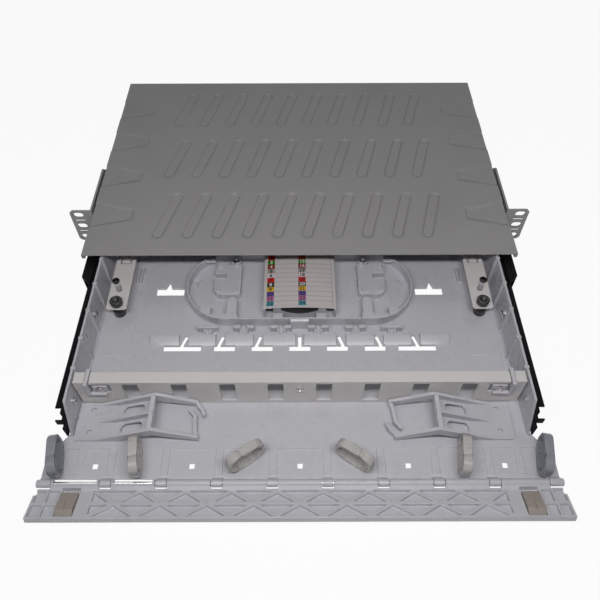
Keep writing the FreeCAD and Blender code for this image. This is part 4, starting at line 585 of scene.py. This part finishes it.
COVER_LOOK = dict(colour=(0.330, 0.318, 0.322), gloss=0.46, drift=0.05, tone=0.02, grain=1400.0, bump=0.10,
                  grain_depth=0.06 * MM, scratches=0.25, scratch_tint=(0.42, 0.41, 0.41), dust=0.15,
                  smudge_tint=(0.93, 0.93, 0.92))
FINISHES = {
    "cover_paint": COVER_LOOK,
    "cover_beaded": dict(COVER_LOOK, press=pressed_beads),
    "slide_black": dict(colour=(0.003, 0.003, 0.0035), gloss=0.5, drift=0.1, tone=0.2, grain=700.0, bump=0.06,
                        scratches=0.5, scratch_tint=(0.03, 0.03, 0.03), dust=0.2,
                        dust_tint=(0.03, 0.03, 0.03), Specular_IOR_Level=0.06),
    "tray_white": dict(colour=(0.535, 0.53, 0.565), gloss=0.28, drift=0.03, tone=0.012, grain=620.0,
                       bump=0.05, scratches=0.25, scratch_tint=(0.50, 0.49, 0.52), dust=0.2,
                       dust_tint=(0.40, 0.37, 0.34), smudge_tint=(0.985, 0.985, 0.988)),
    "panel_cream": dict(colour=(0.660, 0.630, 0.625), gloss=0.34, drift=0.05, tone=0.025, grain=1200.0,
                        bump=0.06, scratches=0.3, scratch_tint=(0.45, 0.43, 0.42), dust=0.25),
    "latch_beige": dict(colour=(0.300, 0.262, 0.235), gloss=0.45, tone=0.05, grain=500.0, bump=0.08,
                        grain_depth=0.06 * MM, scratch_tint=(0.38, 0.34, 0.31)),
    "rod_steel": dict(colour=(0.70, 0.69, 0.68), gloss=0.24, drift=0.08, tone=0.05, grain=300.0, bump=0.05,
                      grain_depth=0.04 * MM, scratches=0.7, dust=0.1, Metallic=1.0),
    "holder_rubber": dict(colour=(0.52, 0.515, 0.545), gloss=0.5, drift=0.08, tone=0.04, grain=500.0,
                          bump=0.1, grain_depth=0.08 * MM, paint=holder_bed),
    "knob_black": dict(colour=(0.008, 0.008, 0.009), gloss=0.22, drift=0.05, tone=0.1, grain=400.0, bump=0.03,
                       grain_depth=0.04 * MM, scratches=0.3, scratch_tint=(0.06, 0.06, 0.06), dust=0.1),
    "screw_dark": dict(colour=(0.045, 0.040, 0.040), gloss=0.32, drift=0.08, tone=0.15, grain=500.0,
                       bump=0.05, grain_depth=0.04 * MM, scratches=0.6, scratch_tint=(0.25, 0.23, 0.22),
                       dust=0.1, Metallic=0.9),
    "screw_bright": dict(colour=(0.62, 0.60, 0.59), gloss=0.22, drift=0.07, tone=0.08, grain=500.0, bump=0.04,
                         grain_depth=0.04 * MM, scratches=0.6, scratch_tint=(0.40, 0.38, 0.37), dust=0.1,
                         Metallic=1.0),
    "card_paper": dict(colour=(0.545, 0.515, 0.505), gloss=0.55, drift=0.05, tone=0.02, grain=1500.0,
                       bump=0.05, grain_depth=0.04 * MM, scratches=0.1, scratch_tint=(0.4, 0.38, 0.37),
                       dust=0.2, paint=card_print),
    "card_ink_dark": dict(colour=(0.010, 0.008, 0.012), gloss=0.55),
    "card_ink_pale": dict(colour=(0.60, 0.58, 0.56), gloss=0.55),
}
MATERIALS = {name: finish_material(name, **look) for name, look in FINISHES.items()}
MATERIALS["ring_clear"] = clear_plastic("ring_clear", colour=(0.56, 0.54, 0.52), clearness=0.2)
# The outer rings' copy of the clear plastic: darker and bluer, as painted shade for the dark that shows
# through them.
MATERIALS["ring_painted_shade"] = clear_plastic("ring_painted_shade", colour=(0.27, 0.285, 0.32), clearness=0.15)

SLOTS = {row["node"]: row.get("material_slot") for row in frame["record"]["subparts"]}


# Dressing of the pieces that come from the frame

def even_normals(piece):
    """Let the large faces set the shading."""
    even = piece.modifiers.new("even", "WEIGHTED_NORMAL")
    even.weight = FACE_WEIGHT


def soften(piece, width):
    """Merge the loose triangles and round the edges."""
    weld = piece.modifiers.new("weld", "WELD")
    weld.merge_threshold = WELD
    bevel = piece.modifiers.new("edge", "BEVEL")
    bevel.width = width
    bevel.segments = EDGE_STEPS
    bevel.limit_method = "ANGLE"
    bevel.angle_limit = EDGE_ANGLE
    bevel.use_clamp_overlap = False
    bevel.loop_slide = False
    even_normals(piece)


def dress(piece, material):
    piece.data.materials.clear()
    piece.data.materials.append(material)


EDGES = {"tray_white": MOULD_EDGE, "latch_beige": MOULD_EDGE}
for name, piece in NODES.items():
    slot = SLOTS[name]
    dress(piece, MATERIALS[slot])
    soften(piece, THIN_EDGE if name.startswith("cord_guide") else EDGES.get(slot, SHEET_EDGE))
dress(NODES["top_cover"], MATERIALS["cover_beaded"])


# Screws, made on points that carry the way each one looks

def placed_points(name, spots):
    """A mesh of single points; each spot is a place and the way its screw head faces."""
    mesh = bpy.data.meshes.new(name)
    mesh.from_pydata([place for place, aim in spots], [], [])
    aims = mesh.attributes.new("aim", "FLOAT_VECTOR", "POINT")
    for index, (place, aim) in enumerate(spots):
        aims.data[index].vector = aim
    return add_piece(name, mesh)


def instance_tree(name, inputs, make):
    """A tree that sets one shape on every point, turned along the point's aim, with a material."""
    fields = [("Geometry", "NodeSocketGeometry", None), ("Material", "NodeSocketMaterial", None)] + inputs
    tree, start, end = new_group(name, "GeometryNodeTree", fields, [("Geometry", "NodeSocketGeometry")])
    shape = make(tree, start)
    aim = add_node(tree, "GeometryNodeInputNamedAttribute", data_type="FLOAT_VECTOR")
    aim.inputs["Name"].default_value = "aim"
    turn = add_node(tree, "FunctionNodeAlignRotationToVector", axis="Z")
    link(tree, aim.outputs["Attribute"], turn.inputs["Vector"])
    copies = add_node(tree, "GeometryNodeInstanceOnPoints")
    link(tree, start.outputs["Geometry"], copies.inputs["Points"])
    link(tree, shape, copies.inputs["Instance"])
    link(tree, turn.outputs["Rotation"], copies.inputs["Rotation"])
    real = add_node(tree, "GeometryNodeRealizeInstances")
    link(tree, copies.outputs["Instances"], real.inputs["Geometry"])
    finish = add_node(tree, "GeometryNodeSetMaterial")
    link(tree, real.outputs["Geometry"], finish.inputs["Geometry"])
    link(tree, start.outputs["Material"], finish.inputs["Material"])
    link(tree, finish.outputs["Geometry"], end.inputs["Geometry"])
    return tree


def slot_bar(tree, length, width, depth, turned):
    """One arm of a cross recess, sunk into the head's top."""
    size = add_node(tree, "ShaderNodeCombineXYZ")
    link(tree, length, size.inputs["Y" if turned else "X"])
    link(tree, width, size.inputs["X" if turned else "Y"])
    link(tree, maths(tree, "MULTIPLY", depth, 2.0), size.inputs["Z"])
    bar = add_node(tree, "GeometryNodeMeshCube")
    link(tree, size.outputs[0], bar.inputs["Size"])
    return bar.outputs["Mesh"]


def cross_head(tree, start):
    """A pan head: a disc whose top is domed, with a cross cut into it."""
    radius = start.outputs["Head Radius"]
    height = start.outputs["Head Height"]
    disc = add_node(tree, "GeometryNodeMeshCylinder", fill_type="TRIANGLE_FAN")
    disc.inputs["Vertices"].default_value = HEAD_STEPS
    disc.inputs["Fill Segments"].default_value = HEAD_RINGS
    link(tree, radius, disc.inputs["Radius"])
    link(tree, height, disc.inputs["Depth"])
    place = add_node(tree, "GeometryNodeInputPosition")
    split = add_node(tree, "ShaderNodeSeparateXYZ")
    link(tree, place.outputs["Position"], split.inputs[0])
    reach = add_node(tree, "ShaderNodeVectorMath", operation="LENGTH")
    flat = add_node(tree, "ShaderNodeCombineXYZ")
    link(tree, split.outputs["X"], flat.inputs["X"])
    link(tree, split.outputs["Y"], flat.inputs["Y"])
    link(tree, flat.outputs[0], reach.inputs[0])
    share = maths(tree, "DIVIDE", reach.outputs["Value"], radius)
    fall = maths(tree, "MULTIPLY", maths(tree, "POWER", share, 2.0), start.outputs["Dome"])
    is_top = maths(tree, "GREATER_THAN", split.outputs["Z"], 0.0)
    drop = maths(tree, "MULTIPLY", maths(tree, "MULTIPLY", fall, -1.0), is_top)
    lift = maths(tree, "ADD", drop, maths(tree, "DIVIDE", height, 2.0))
    offset = add_node(tree, "ShaderNodeCombineXYZ")
    link(tree, lift, offset.inputs["Z"])
    domed = add_node(tree, "GeometryNodeSetPosition")
    link(tree, disc.outputs["Mesh"], domed.inputs["Geometry"])
    link(tree, offset.outputs[0], domed.inputs["Offset"])
    cut = domed.outputs["Geometry"]
    for turned in (False, True):
        bar = slot_bar(tree, start.outputs["Recess Length"], start.outputs["Recess Width"],
                       start.outputs["Recess Depth"], turned)
        raised = add_node(tree, "GeometryNodeTransform")
        at_top = add_node(tree, "ShaderNodeCombineXYZ")
        link(tree, height, at_top.inputs["Z"])
        link(tree, bar, raised.inputs["Geometry"])
        link(tree, at_top.outputs[0], raised.inputs["Translation"])
        carve = add_node(tree, "GeometryNodeMeshBoolean", operation="DIFFERENCE")
        link(tree, cut, carve.inputs["Mesh 1"])
        link(tree, raised.outputs["Geometry"], carve.inputs["Mesh 2"])
        cut = carve.outputs["Mesh"]
    return cut


def round_mark(tree, start):
    """A low round pip, as a punched dimple or an ejector mark leaves."""
    pip = add_node(tree, "GeometryNodeMeshCone", fill_type="NGON")
    pip.inputs["Vertices"].default_value = PIP_STEPS
    link(tree, start.outputs["Top Radius"], pip.inputs["Radius Top"])
    link(tree, start.outputs["Base Radius"], pip.inputs["Radius Bottom"])
    link(tree, start.outputs["Height"], pip.inputs["Depth"])
    return pip.outputs["Mesh"]


def sizes(**values):
    """Tree inputs for a set of named sizes."""
    return [(label.replace("_", " ").title(), "NodeSocketFloat", value) for label, value in values.items()]


SCREW_TREE = instance_tree("cross_screws", sizes(
    head_radius=HEAD_RADIUS, head_height=HEAD_HEIGHT, dome=HEAD_DOME, recess_length=RECESS_LENGTH,
    recess_width=RECESS_WIDTH, recess_depth=RECESS_DEPTH), cross_head)
MARK_TREE = instance_tree("round_marks", sizes(top_radius=PIP_TOP, base_radius=PIP_BASE, height=PIP_RISE),
                          round_mark)


def grown(name, spots, tree, material):
    """Run a tree on points and keep the result as a plain mesh piece."""
    seed = placed_points(name + "_points", spots)
    modifier = seed.modifiers.new("grow", "NODES")
    modifier.node_group = tree
    for item in tree.interface.items_tree:
        if item.in_out == "INPUT" and item.name != "Geometry":
            modifier[item.identifier] = material if item.name == "Material" else item.default_value
    shape = settled(seed)
    seed.modifiers.remove(modifier)
    bpy.data.objects.remove(seed)
    shape.name = name
    piece = add_piece(name, shape)
    dress(piece, material)
    return piece


def solid_islands(node):
    """The separate solids of a node, each as the list of its corner points."""
    work = bmesh.new()
    work.from_mesh(NODES[node].data)
    bmesh.ops.remove_doubles(work, verts=work.verts, dist=WELD)
    seen = set()
    islands = []
    for first in work.verts:
        if first in seen:
            continue
        stack = [first]
        seen.add(first)
        found = []
        while stack:
            corner = stack.pop()
            found.append(corner.co.copy())
            for edge in corner.link_edges:
                other = edge.other_vert(corner)
                if other not in seen:
                    seen.add(other)
                    stack.append(other)
        islands.append(found)
    work.free()
    return islands


def screw_spots(node, axis, facing):
    """Where each screw head of a node sits, and the way it looks along an axis (0, 1 or 2 for x, y or z).

    facing is 1 or -1, or says that the heads look out from the middle or in to it."""
    spots = []
    for island in solid_islands(node):
        low, high = extent(island)
        place = (low + high) / 2
        side = 1 if place[axis] > 0 else -1
        look = {"out": side, "in": -side}.get(facing, facing)
        aim = Vector((0, 0, 0))
        aim[axis] = look
        place[axis] = (high if look > 0 else low)[axis] - look * HEAD_HEIGHT
        spots.append((place, aim))
    return spots


SCREW_SETS = (
    ("bracket_screws", "bracket_screw_heads", "housing", "screw_bright", 0, "out"),
    ("slide_screws", "slide_screw_heads", "drawer", "screw_bright", 0, "in"),
    ("panel_screws", "panel_screw_heads", "drawer", "screw_bright", 1, -1),
    ("plate_screws", "plate_screw_heads", "drawer", "screw_dark", 2, 1),
    ("cassette_screws", "cassette_screw_heads", "drawer", "screw_bright", 2, 1),
)
for node, name, body, slot, axis, facing in SCREW_SETS:
    heads = grown(name, screw_spots(node, axis, facing), SCREW_TREE, MATERIALS[slot])
    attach(heads, body)
    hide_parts(node)


# Turned knobs on the corner plates

def turned_piece(name, profile, centre, steps, material):
    """A closed shape spun from a profile of radius and height about an upright line."""
    work = bmesh.new()
    rings = []
    turns = [2 * math.pi * k / steps for k in range(steps)]
    for radius, height in profile:
        places = [(radius * math.cos(turn), radius * math.sin(turn), height) for turn in turns]
        if radius == 0:
            places = [(0, 0, height)]
        rings.append([work.verts.new(centre + Vector(place)) for place in places])
    for low, high in zip(rings, rings[1:]):
        for k in range(steps):
            after = (k + 1) % steps
            if len(low) == 1:
                work.faces.new((low[0], high[after], high[k]))
            elif len(high) == 1:
                work.faces.new((low[k], low[after], high[0]))
            else:
                work.faces.new((low[k], low[after], high[after], high[k]))
    bmesh.ops.recalc_face_normals(work, faces=work.faces)
    mesh = mesh_from(work, name)
    smooth(mesh)
    piece = add_piece(name, mesh)
    dress(piece, material)
    return piece


def knob_profile(low, plate_low, plate_high, high):
    """From the spacer's foot up through the stem to the dished head."""
    under, over = plate_low - KNOB_GAP, plate_high + KNOB_GAP
    well = high - KNOB_WELL_DEPTH
    foot = [(0, low), (KNOB_RADIUS, low), (KNOB_RADIUS, under), (KNOB_STEM, under), (KNOB_STEM, over),
            (KNOB_RADIUS, over)]
    arc = []
    for angle in KNOB_ARC:
        turn = math.radians(angle)
        arc.append((KNOB_RADIUS - KNOB_ROUND + KNOB_ROUND * math.cos(turn),
                    high - KNOB_ROUND + KNOB_ROUND * math.sin(turn)))
    dish = [(KNOB_WELL + KNOB_WELL_LIP, high), (KNOB_WELL, high - KNOB_WELL_EASE),
            (KNOB_WELL - KNOB_WELL_EASE, well), (0, well)]
    return foot + arc + dish


plate_low, plate_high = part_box("corner_plate_left")
knobs = []
for island, side in zip(solid_islands("plate_knobs"), ("a", "b")):
    low, high = extent(island)
    centre = Vector(((low.x + high.x) / 2, (low.y + high.y) / 2, 0))
    profile = knob_profile(low.z, plate_low.z, plate_high.z, high.z)
    knob = turned_piece("plate_knob_" + side, profile, centre, KNOB_STEPS, MATERIALS["knob_black"])
    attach(knob, "drawer")
    knobs.append(knob)
for knob in knobs:
    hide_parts("plate_knobs")


# Pieces that start as a merged copy of their solid

def merged_copy(node, name):
    whole = bmesh.new()
    whole.from_mesh(NODES[node].data)
    bmesh.ops.remove_doubles(whole, verts=whole.verts, dist=WELD)
    return add_piece(name, mesh_from(whole, name))


def stand_in(piece, node, body, edge):
    """Dress a piece as the node that it stands for."""
    dress(piece, MATERIALS[SLOTS[node]])
    soften(piece, edge)
    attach(piece, body)
    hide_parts(node)


# Splice cassette, with the corners of its end tabs trimmed to the round ends

def cassette_plan():
    """The outline to keep: round ends, and all of the straight middle with its tongues."""
    points = []
    for side in (1, -1):
        points.append((side * CASSETTE_STRAIGHT, CASSETTE_MID - side * CASSETTE_REACH))
        for step in range(ROUND_STEPS + 1):
            turn = side * (step / ROUND_STEPS - 0.5) * math.pi
            points.append((side * (CASSETTE_END_AT + CASSETTE_END * math.cos(turn)),
                           CASSETTE_MID + CASSETTE_END * math.sin(turn)))
        points.append((side * CASSETTE_STRAIGHT, CASSETTE_MID + side * CASSETTE_REACH))
    return points


def plan_prism(name, points, low, high):
    """An upright block on an outline."""
    work = bmesh.new()
    base = work.faces.new([work.verts.new((x, y, low)) for x, y in points])
    raised = bmesh.ops.extrude_face_region(work, geom=[base])
    bmesh.ops.translate(work, vec=(0, 0, high - low),
                        verts=[item for item in raised["geom"] if isinstance(item, bmesh.types.BMVert)])
    bmesh.ops.recalc_face_normals(work, faces=work.faces)
    return add_piece(name, mesh_from(work, name))


def trimmed_cassette():
    low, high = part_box("splice_cassette")
    piece = merged_copy("splice_cassette", "cassette_body")
    cutter = plan_prism("cassette_keep", cassette_plan(), low.z - CUT_OVER, high.z + CUT_OVER)
    trim = piece.modifiers.new("trim", "BOOLEAN")
    trim.operation = "INTERSECT"
    trim.solver = "EXACT"
    trim.object = cutter
    kept = settled(piece)
    piece.modifiers.remove(trim)
    piece.data = kept
    bpy.data.objects.remove(cutter)
    stand_in(piece, "splice_cassette", "drawer", MOULD_EDGE)


trimmed_cassette()


# Cord rings, swept round from one side of the slit to the other

def bent(points, reach):
    """A closed outline whose corners are eased by a short bend."""
    eased = []
    corners = [Vector(point) for point in points]
    for index, corner in enumerate(corners):
        before = corners[index - 1] - corner
        after = corners[(index + 1) % len(corners)] - corner
        start = corner + before.normalized() * min(reach, before.length * BEND_SHARE)
        stop = corner + after.normalized() * min(reach, after.length * BEND_SHARE)
        eased += [start, (start + stop + 2 * corner) / 4, stop]
    return eased


def ring_outline(inset, low, high):
    """The eight-sided loop seen from its flat side, from the slit round to the slit."""
    half = RING_LENGTH / 2 - inset
    turn = math.tan(RING_CORNER_ANGLE)
    head = RING_HEAD_CORNER - inset * turn
    foot = RING_FOOT_CORNER - inset * turn
    low += inset
    high -= inset
    loop = [(half - head, high), (half, high - head), (half, low + foot), (half - foot, low),
            (foot - half, low), (-half, low + foot), (-half, high - head), (head - half, high)]
    first = Vector((RING_SLIT_AT + RING_SLIT / 2, high))
    last = Vector((RING_SLIT_AT - RING_SLIT / 2, high))
    return [first] + bent(loop, RING_BEND * (1 - inset / RING_LENGTH * RING_BEND_EASE)) + [last]


def swept_ring(name, node, material):
    """A ring on its peg, made at the joint's own place and turned as it stands at rest."""
    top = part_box(node)[1].z
    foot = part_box("tray")[0].z + PEG_GAP
    joint = next(row for row in frame["record"]["behaviour"]["joints"] if row["child"] == node)
    pivot = Vector(joint["pos_m"])
    rest = math.radians(90 - joint["range_deg"][1])
    base = pivot.z
    outer = ring_outline(0.0, base, top)
    inner = ring_outline(RING_WALL, base, top)
    work = bmesh.new()
    rows = []
    for index, (far, near) in enumerate(zip(outer, inner)):
        slant = RING_SLIT_SLANT if index in (0, len(outer) - 1) else 0.0
        row = []
        for point, side in ((far, -1), (far, 1), (near, 1), (near, -1)):
            x = side * RING_WIDTH / 2
            row.append(work.verts.new((x, point[0] + slant * x, point[1])))
        rows.append(row)
    rounded = work.edges.layers.float.new("bevel_weight_edge")
    for one, two in zip(rows, rows[1:]):
        for k in range(4):
            after = (k + 1) % 4
            work.faces.new((one[k], one[after], two[after], two[k]))
            work.edges.get((one[k], two[k]))[rounded] = 1.0
    work.faces.new(rows[0])
    work.faces.new(rows[-1])
    peg_top = base + RING_WALL / 2
    bmesh.ops.create_cone(work, cap_ends=True, segments=PEG_STEPS, radius1=RING_PEG, radius2=RING_PEG,
                          depth=peg_top - foot, matrix=Matrix.Translation((0, 0, (peg_top + foot) / 2)))
    bmesh.ops.recalc_face_normals(work, faces=work.faces)
    mesh = mesh_from(work, name)
    mesh.transform(Matrix.Translation((pivot.x, pivot.y, 0)) @ Matrix.Rotation(rest, 4, "Z"))
    smooth(mesh)
    piece = add_piece(name, mesh)
    edge = piece.modifiers.new("edge", "BEVEL")
    edge.width = RING_EDGE
    edge.segments = RING_EDGE_STEPS
    edge.limit_method = "WEIGHT"
    even_normals(piece)
    dress(piece, material)
    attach(piece, node)
    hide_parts(node)


for place in ("outer", "mid", "inner"):
    for word in ("left", "right"):
        # The outer rings get the darker copy of the clear plastic, a painted shade.
        material = MATERIALS["ring_painted_shade" if place == "outer" else "ring_clear"]
        swept_ring("ring_%s_%s" % (place, word), "cord_ring_%s_%s" % (place, word), material)


# Punched pips on the adapter panel

panel_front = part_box("adapter_panel")[0].y
pips = []
for index in range(WINDOWS):
    for side in (-1, 1):
        x = (index - (WINDOWS - 1) / 2) * WINDOW_PITCH + side * PIP_OUT
        pips += [(Vector((x, panel_front, z)), Vector((0, -1, 0))) for z in PIP_HEIGHTS]
dots = grown("panel_pips", pips, MARK_TREE, MATERIALS["panel_cream"])
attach(dots, "drawer")


# Numbers on the label card

def card_height(x):
    """Height of the card's bowed face at a place across it."""
    low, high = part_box("label_card")
    half = (high.x - low.x) / 2
    rise = high.z - low.z - CARD_THICKNESS
    radius = (half * half + rise * rise) / (2 * rise)
    return high.z - radius + math.sqrt(radius * radius - x * x)


def number_mesh(text, centre, size):
    """A number that follows the card's bow."""
    curve = bpy.data.curves.new("number", "FONT")
    curve.body = text
    curve.size = size
    curve.offset = CARD_STROKE
    curve.align_x = "CENTER"
    curve.align_y = "CENTER"
    curve.resolution_u = CARD_NUMBER_STEPS
    curve.extrude = CARD_INK / 2
    writing = add_piece("number", curve)
    mesh = settled(writing)
    bpy.data.objects.remove(writing)
    bpy.data.curves.remove(curve)
    mesh.transform(Matrix.Translation(centre))
    for corner in mesh.vertices:
        corner.co.z += card_height(corner.co.x) + CARD_INK
    return mesh


def card_numbers():
    low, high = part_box("label_card")
    inks = {"card_ink_dark": bmesh.new(), "card_ink_pale": bmesh.new()}
    for column, left in enumerate(CARD_COLUMNS):
        for row in range(1, CARD_ROWS + 1):
            x = low.x + left + CARD_COLUMN / 2
            y = low.y + CARD_FIRST + (CARD_ROWS - row + 0.5) * CARD_PITCH
            if y > high.y - CARD_FIRST:
                continue
            mesh = number_mesh(str(row + CARD_ROWS * column), Vector((x, y, 0)), CARD_NUMBER_SIZE)
            inks["card_ink_pale" if row in CARD_PALE_INK else "card_ink_dark"].from_mesh(mesh)
            bpy.data.meshes.remove(mesh)
    for ink, work in inks.items():
        name = "numbers_" + ink
        piece = add_piece(name, mesh_from(work, name))
        dress(piece, MATERIALS[ink])
        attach(piece, "drawer")


card_numbers()


# Floor, light and camera

def seen_directly(tree):
    """1 for what the camera, a reflection or a clear piece looks at, and 0 for bounced light."""
    ray = add_node(tree, "ShaderNodeLightPath")
    seen = maths(tree, "MAXIMUM", ray.outputs["Is Camera Ray"], ray.outputs["Is Glossy Ray"])
    return maths(tree, "MAXIMUM", seen, ray.outputs["Is Transmission Ray"])


def studio_floor():
    mesh = bpy.data.meshes.new("studio_floor")
    z = CAD_BOX[0].z - FLOOR_GAP
    corners = [(x * FLOOR_HALF, y * FLOOR_HALF, z) for x, y in ((-1, -1), (1, -1), (1, 1), (-1, 1))]
    mesh.from_pydata(corners, [], [(0, 1, 2, 3)])
    floor = add_piece("studio_floor", mesh)
    material = bpy.data.materials.new("studio_floor")
    material.use_nodes = True
    tree = material.node_tree
    tree.nodes.clear()
    paper = add_node(tree, "ShaderNodeBsdfDiffuse")
    paper.inputs["Color"].default_value = FLOOR_PAPER
    glow = add_node(tree, "ShaderNodeEmission")
    glow.inputs["Strength"].default_value = 1.0
    blend = add_node(tree, "ShaderNodeMixShader")
    link(tree, maths(tree, "MULTIPLY", seen_directly(tree), FLOOR_GLOW), blend.inputs["Fac"])
    link(tree, paper.outputs[0], blend.inputs[1])
    link(tree, glow.outputs[0], blend.inputs[2])
    out = add_node(tree, "ShaderNodeOutputMaterial")
    link(tree, blend.outputs[0], out.inputs["Surface"])
    dress(floor, material)


def studio_world():
    world = bpy.data.worlds.new("studio")
    bpy.context.scene.world = world
    world.use_nodes = True
    tree = world.node_tree
    tree.nodes.clear()
    backdrop = add_node(tree, "ShaderNodeBackground")
    backdrop.inputs["Color"].default_value = BACKDROP
    fill = add_node(tree, "ShaderNodeBackground")
    fill.inputs["Color"].default_value = WORLD_FILL
    fill.inputs["Strength"].default_value = WORLD_STRENGTH
    blend = add_node(tree, "ShaderNodeMixShader")
    link(tree, seen_directly(tree), blend.inputs["Fac"])
    link(tree, fill.outputs[0], blend.inputs[1])
    link(tree, backdrop.outputs[0], blend.inputs[2])
    out = add_node(tree, "ShaderNodeOutputWorld")
    link(tree, blend.outputs[0], out.inputs["Surface"])


def soft_lamp(name, place, target, width, height, power):
    light = bpy.data.lights.new(name, "AREA")
    light.shape = "RECTANGLE"
    light.size = width
    light.size_y = height
    light.energy = power
    lamp = add_piece(name, light)
    lamp.location = place
    aim = Vector(target) - Vector(place)
    lamp.rotation_euler = aim.to_track_quat("-Z", "Y").to_euler()


def studio_camera():
    forward = Vector((0, math.cos(CAMERA_TILT), -math.sin(CAMERA_TILT)))
    level = Vector((1, 0, 0))
    above = level.cross(forward)
    right = math.cos(CAMERA_ROLL) * level + math.sin(CAMERA_ROLL) * above
    up = math.cos(CAMERA_ROLL) * above - math.sin(CAMERA_ROLL) * level
    data = bpy.data.cameras.new("photo_view")
    data.lens = CAMERA_LENS
    data.sensor_width = CAMERA_SENSOR
    data.clip_start = CAMERA_NEAR
    data.clip_end = CAMERA_FAR
    camera = add_piece("photo_view", data)
    turn = Matrix((right, up, -forward)).transposed().to_4x4()
    camera.matrix_world = Matrix.Translation(CAMERA_PLACE) @ turn
    bpy.context.scene.camera = camera


studio_floor()
studio_world()
for lamp in LAMPS:
    soft_lamp(*lamp)
studio_camera()
bpy.context.scene.view_settings.view_transform = "Standard"
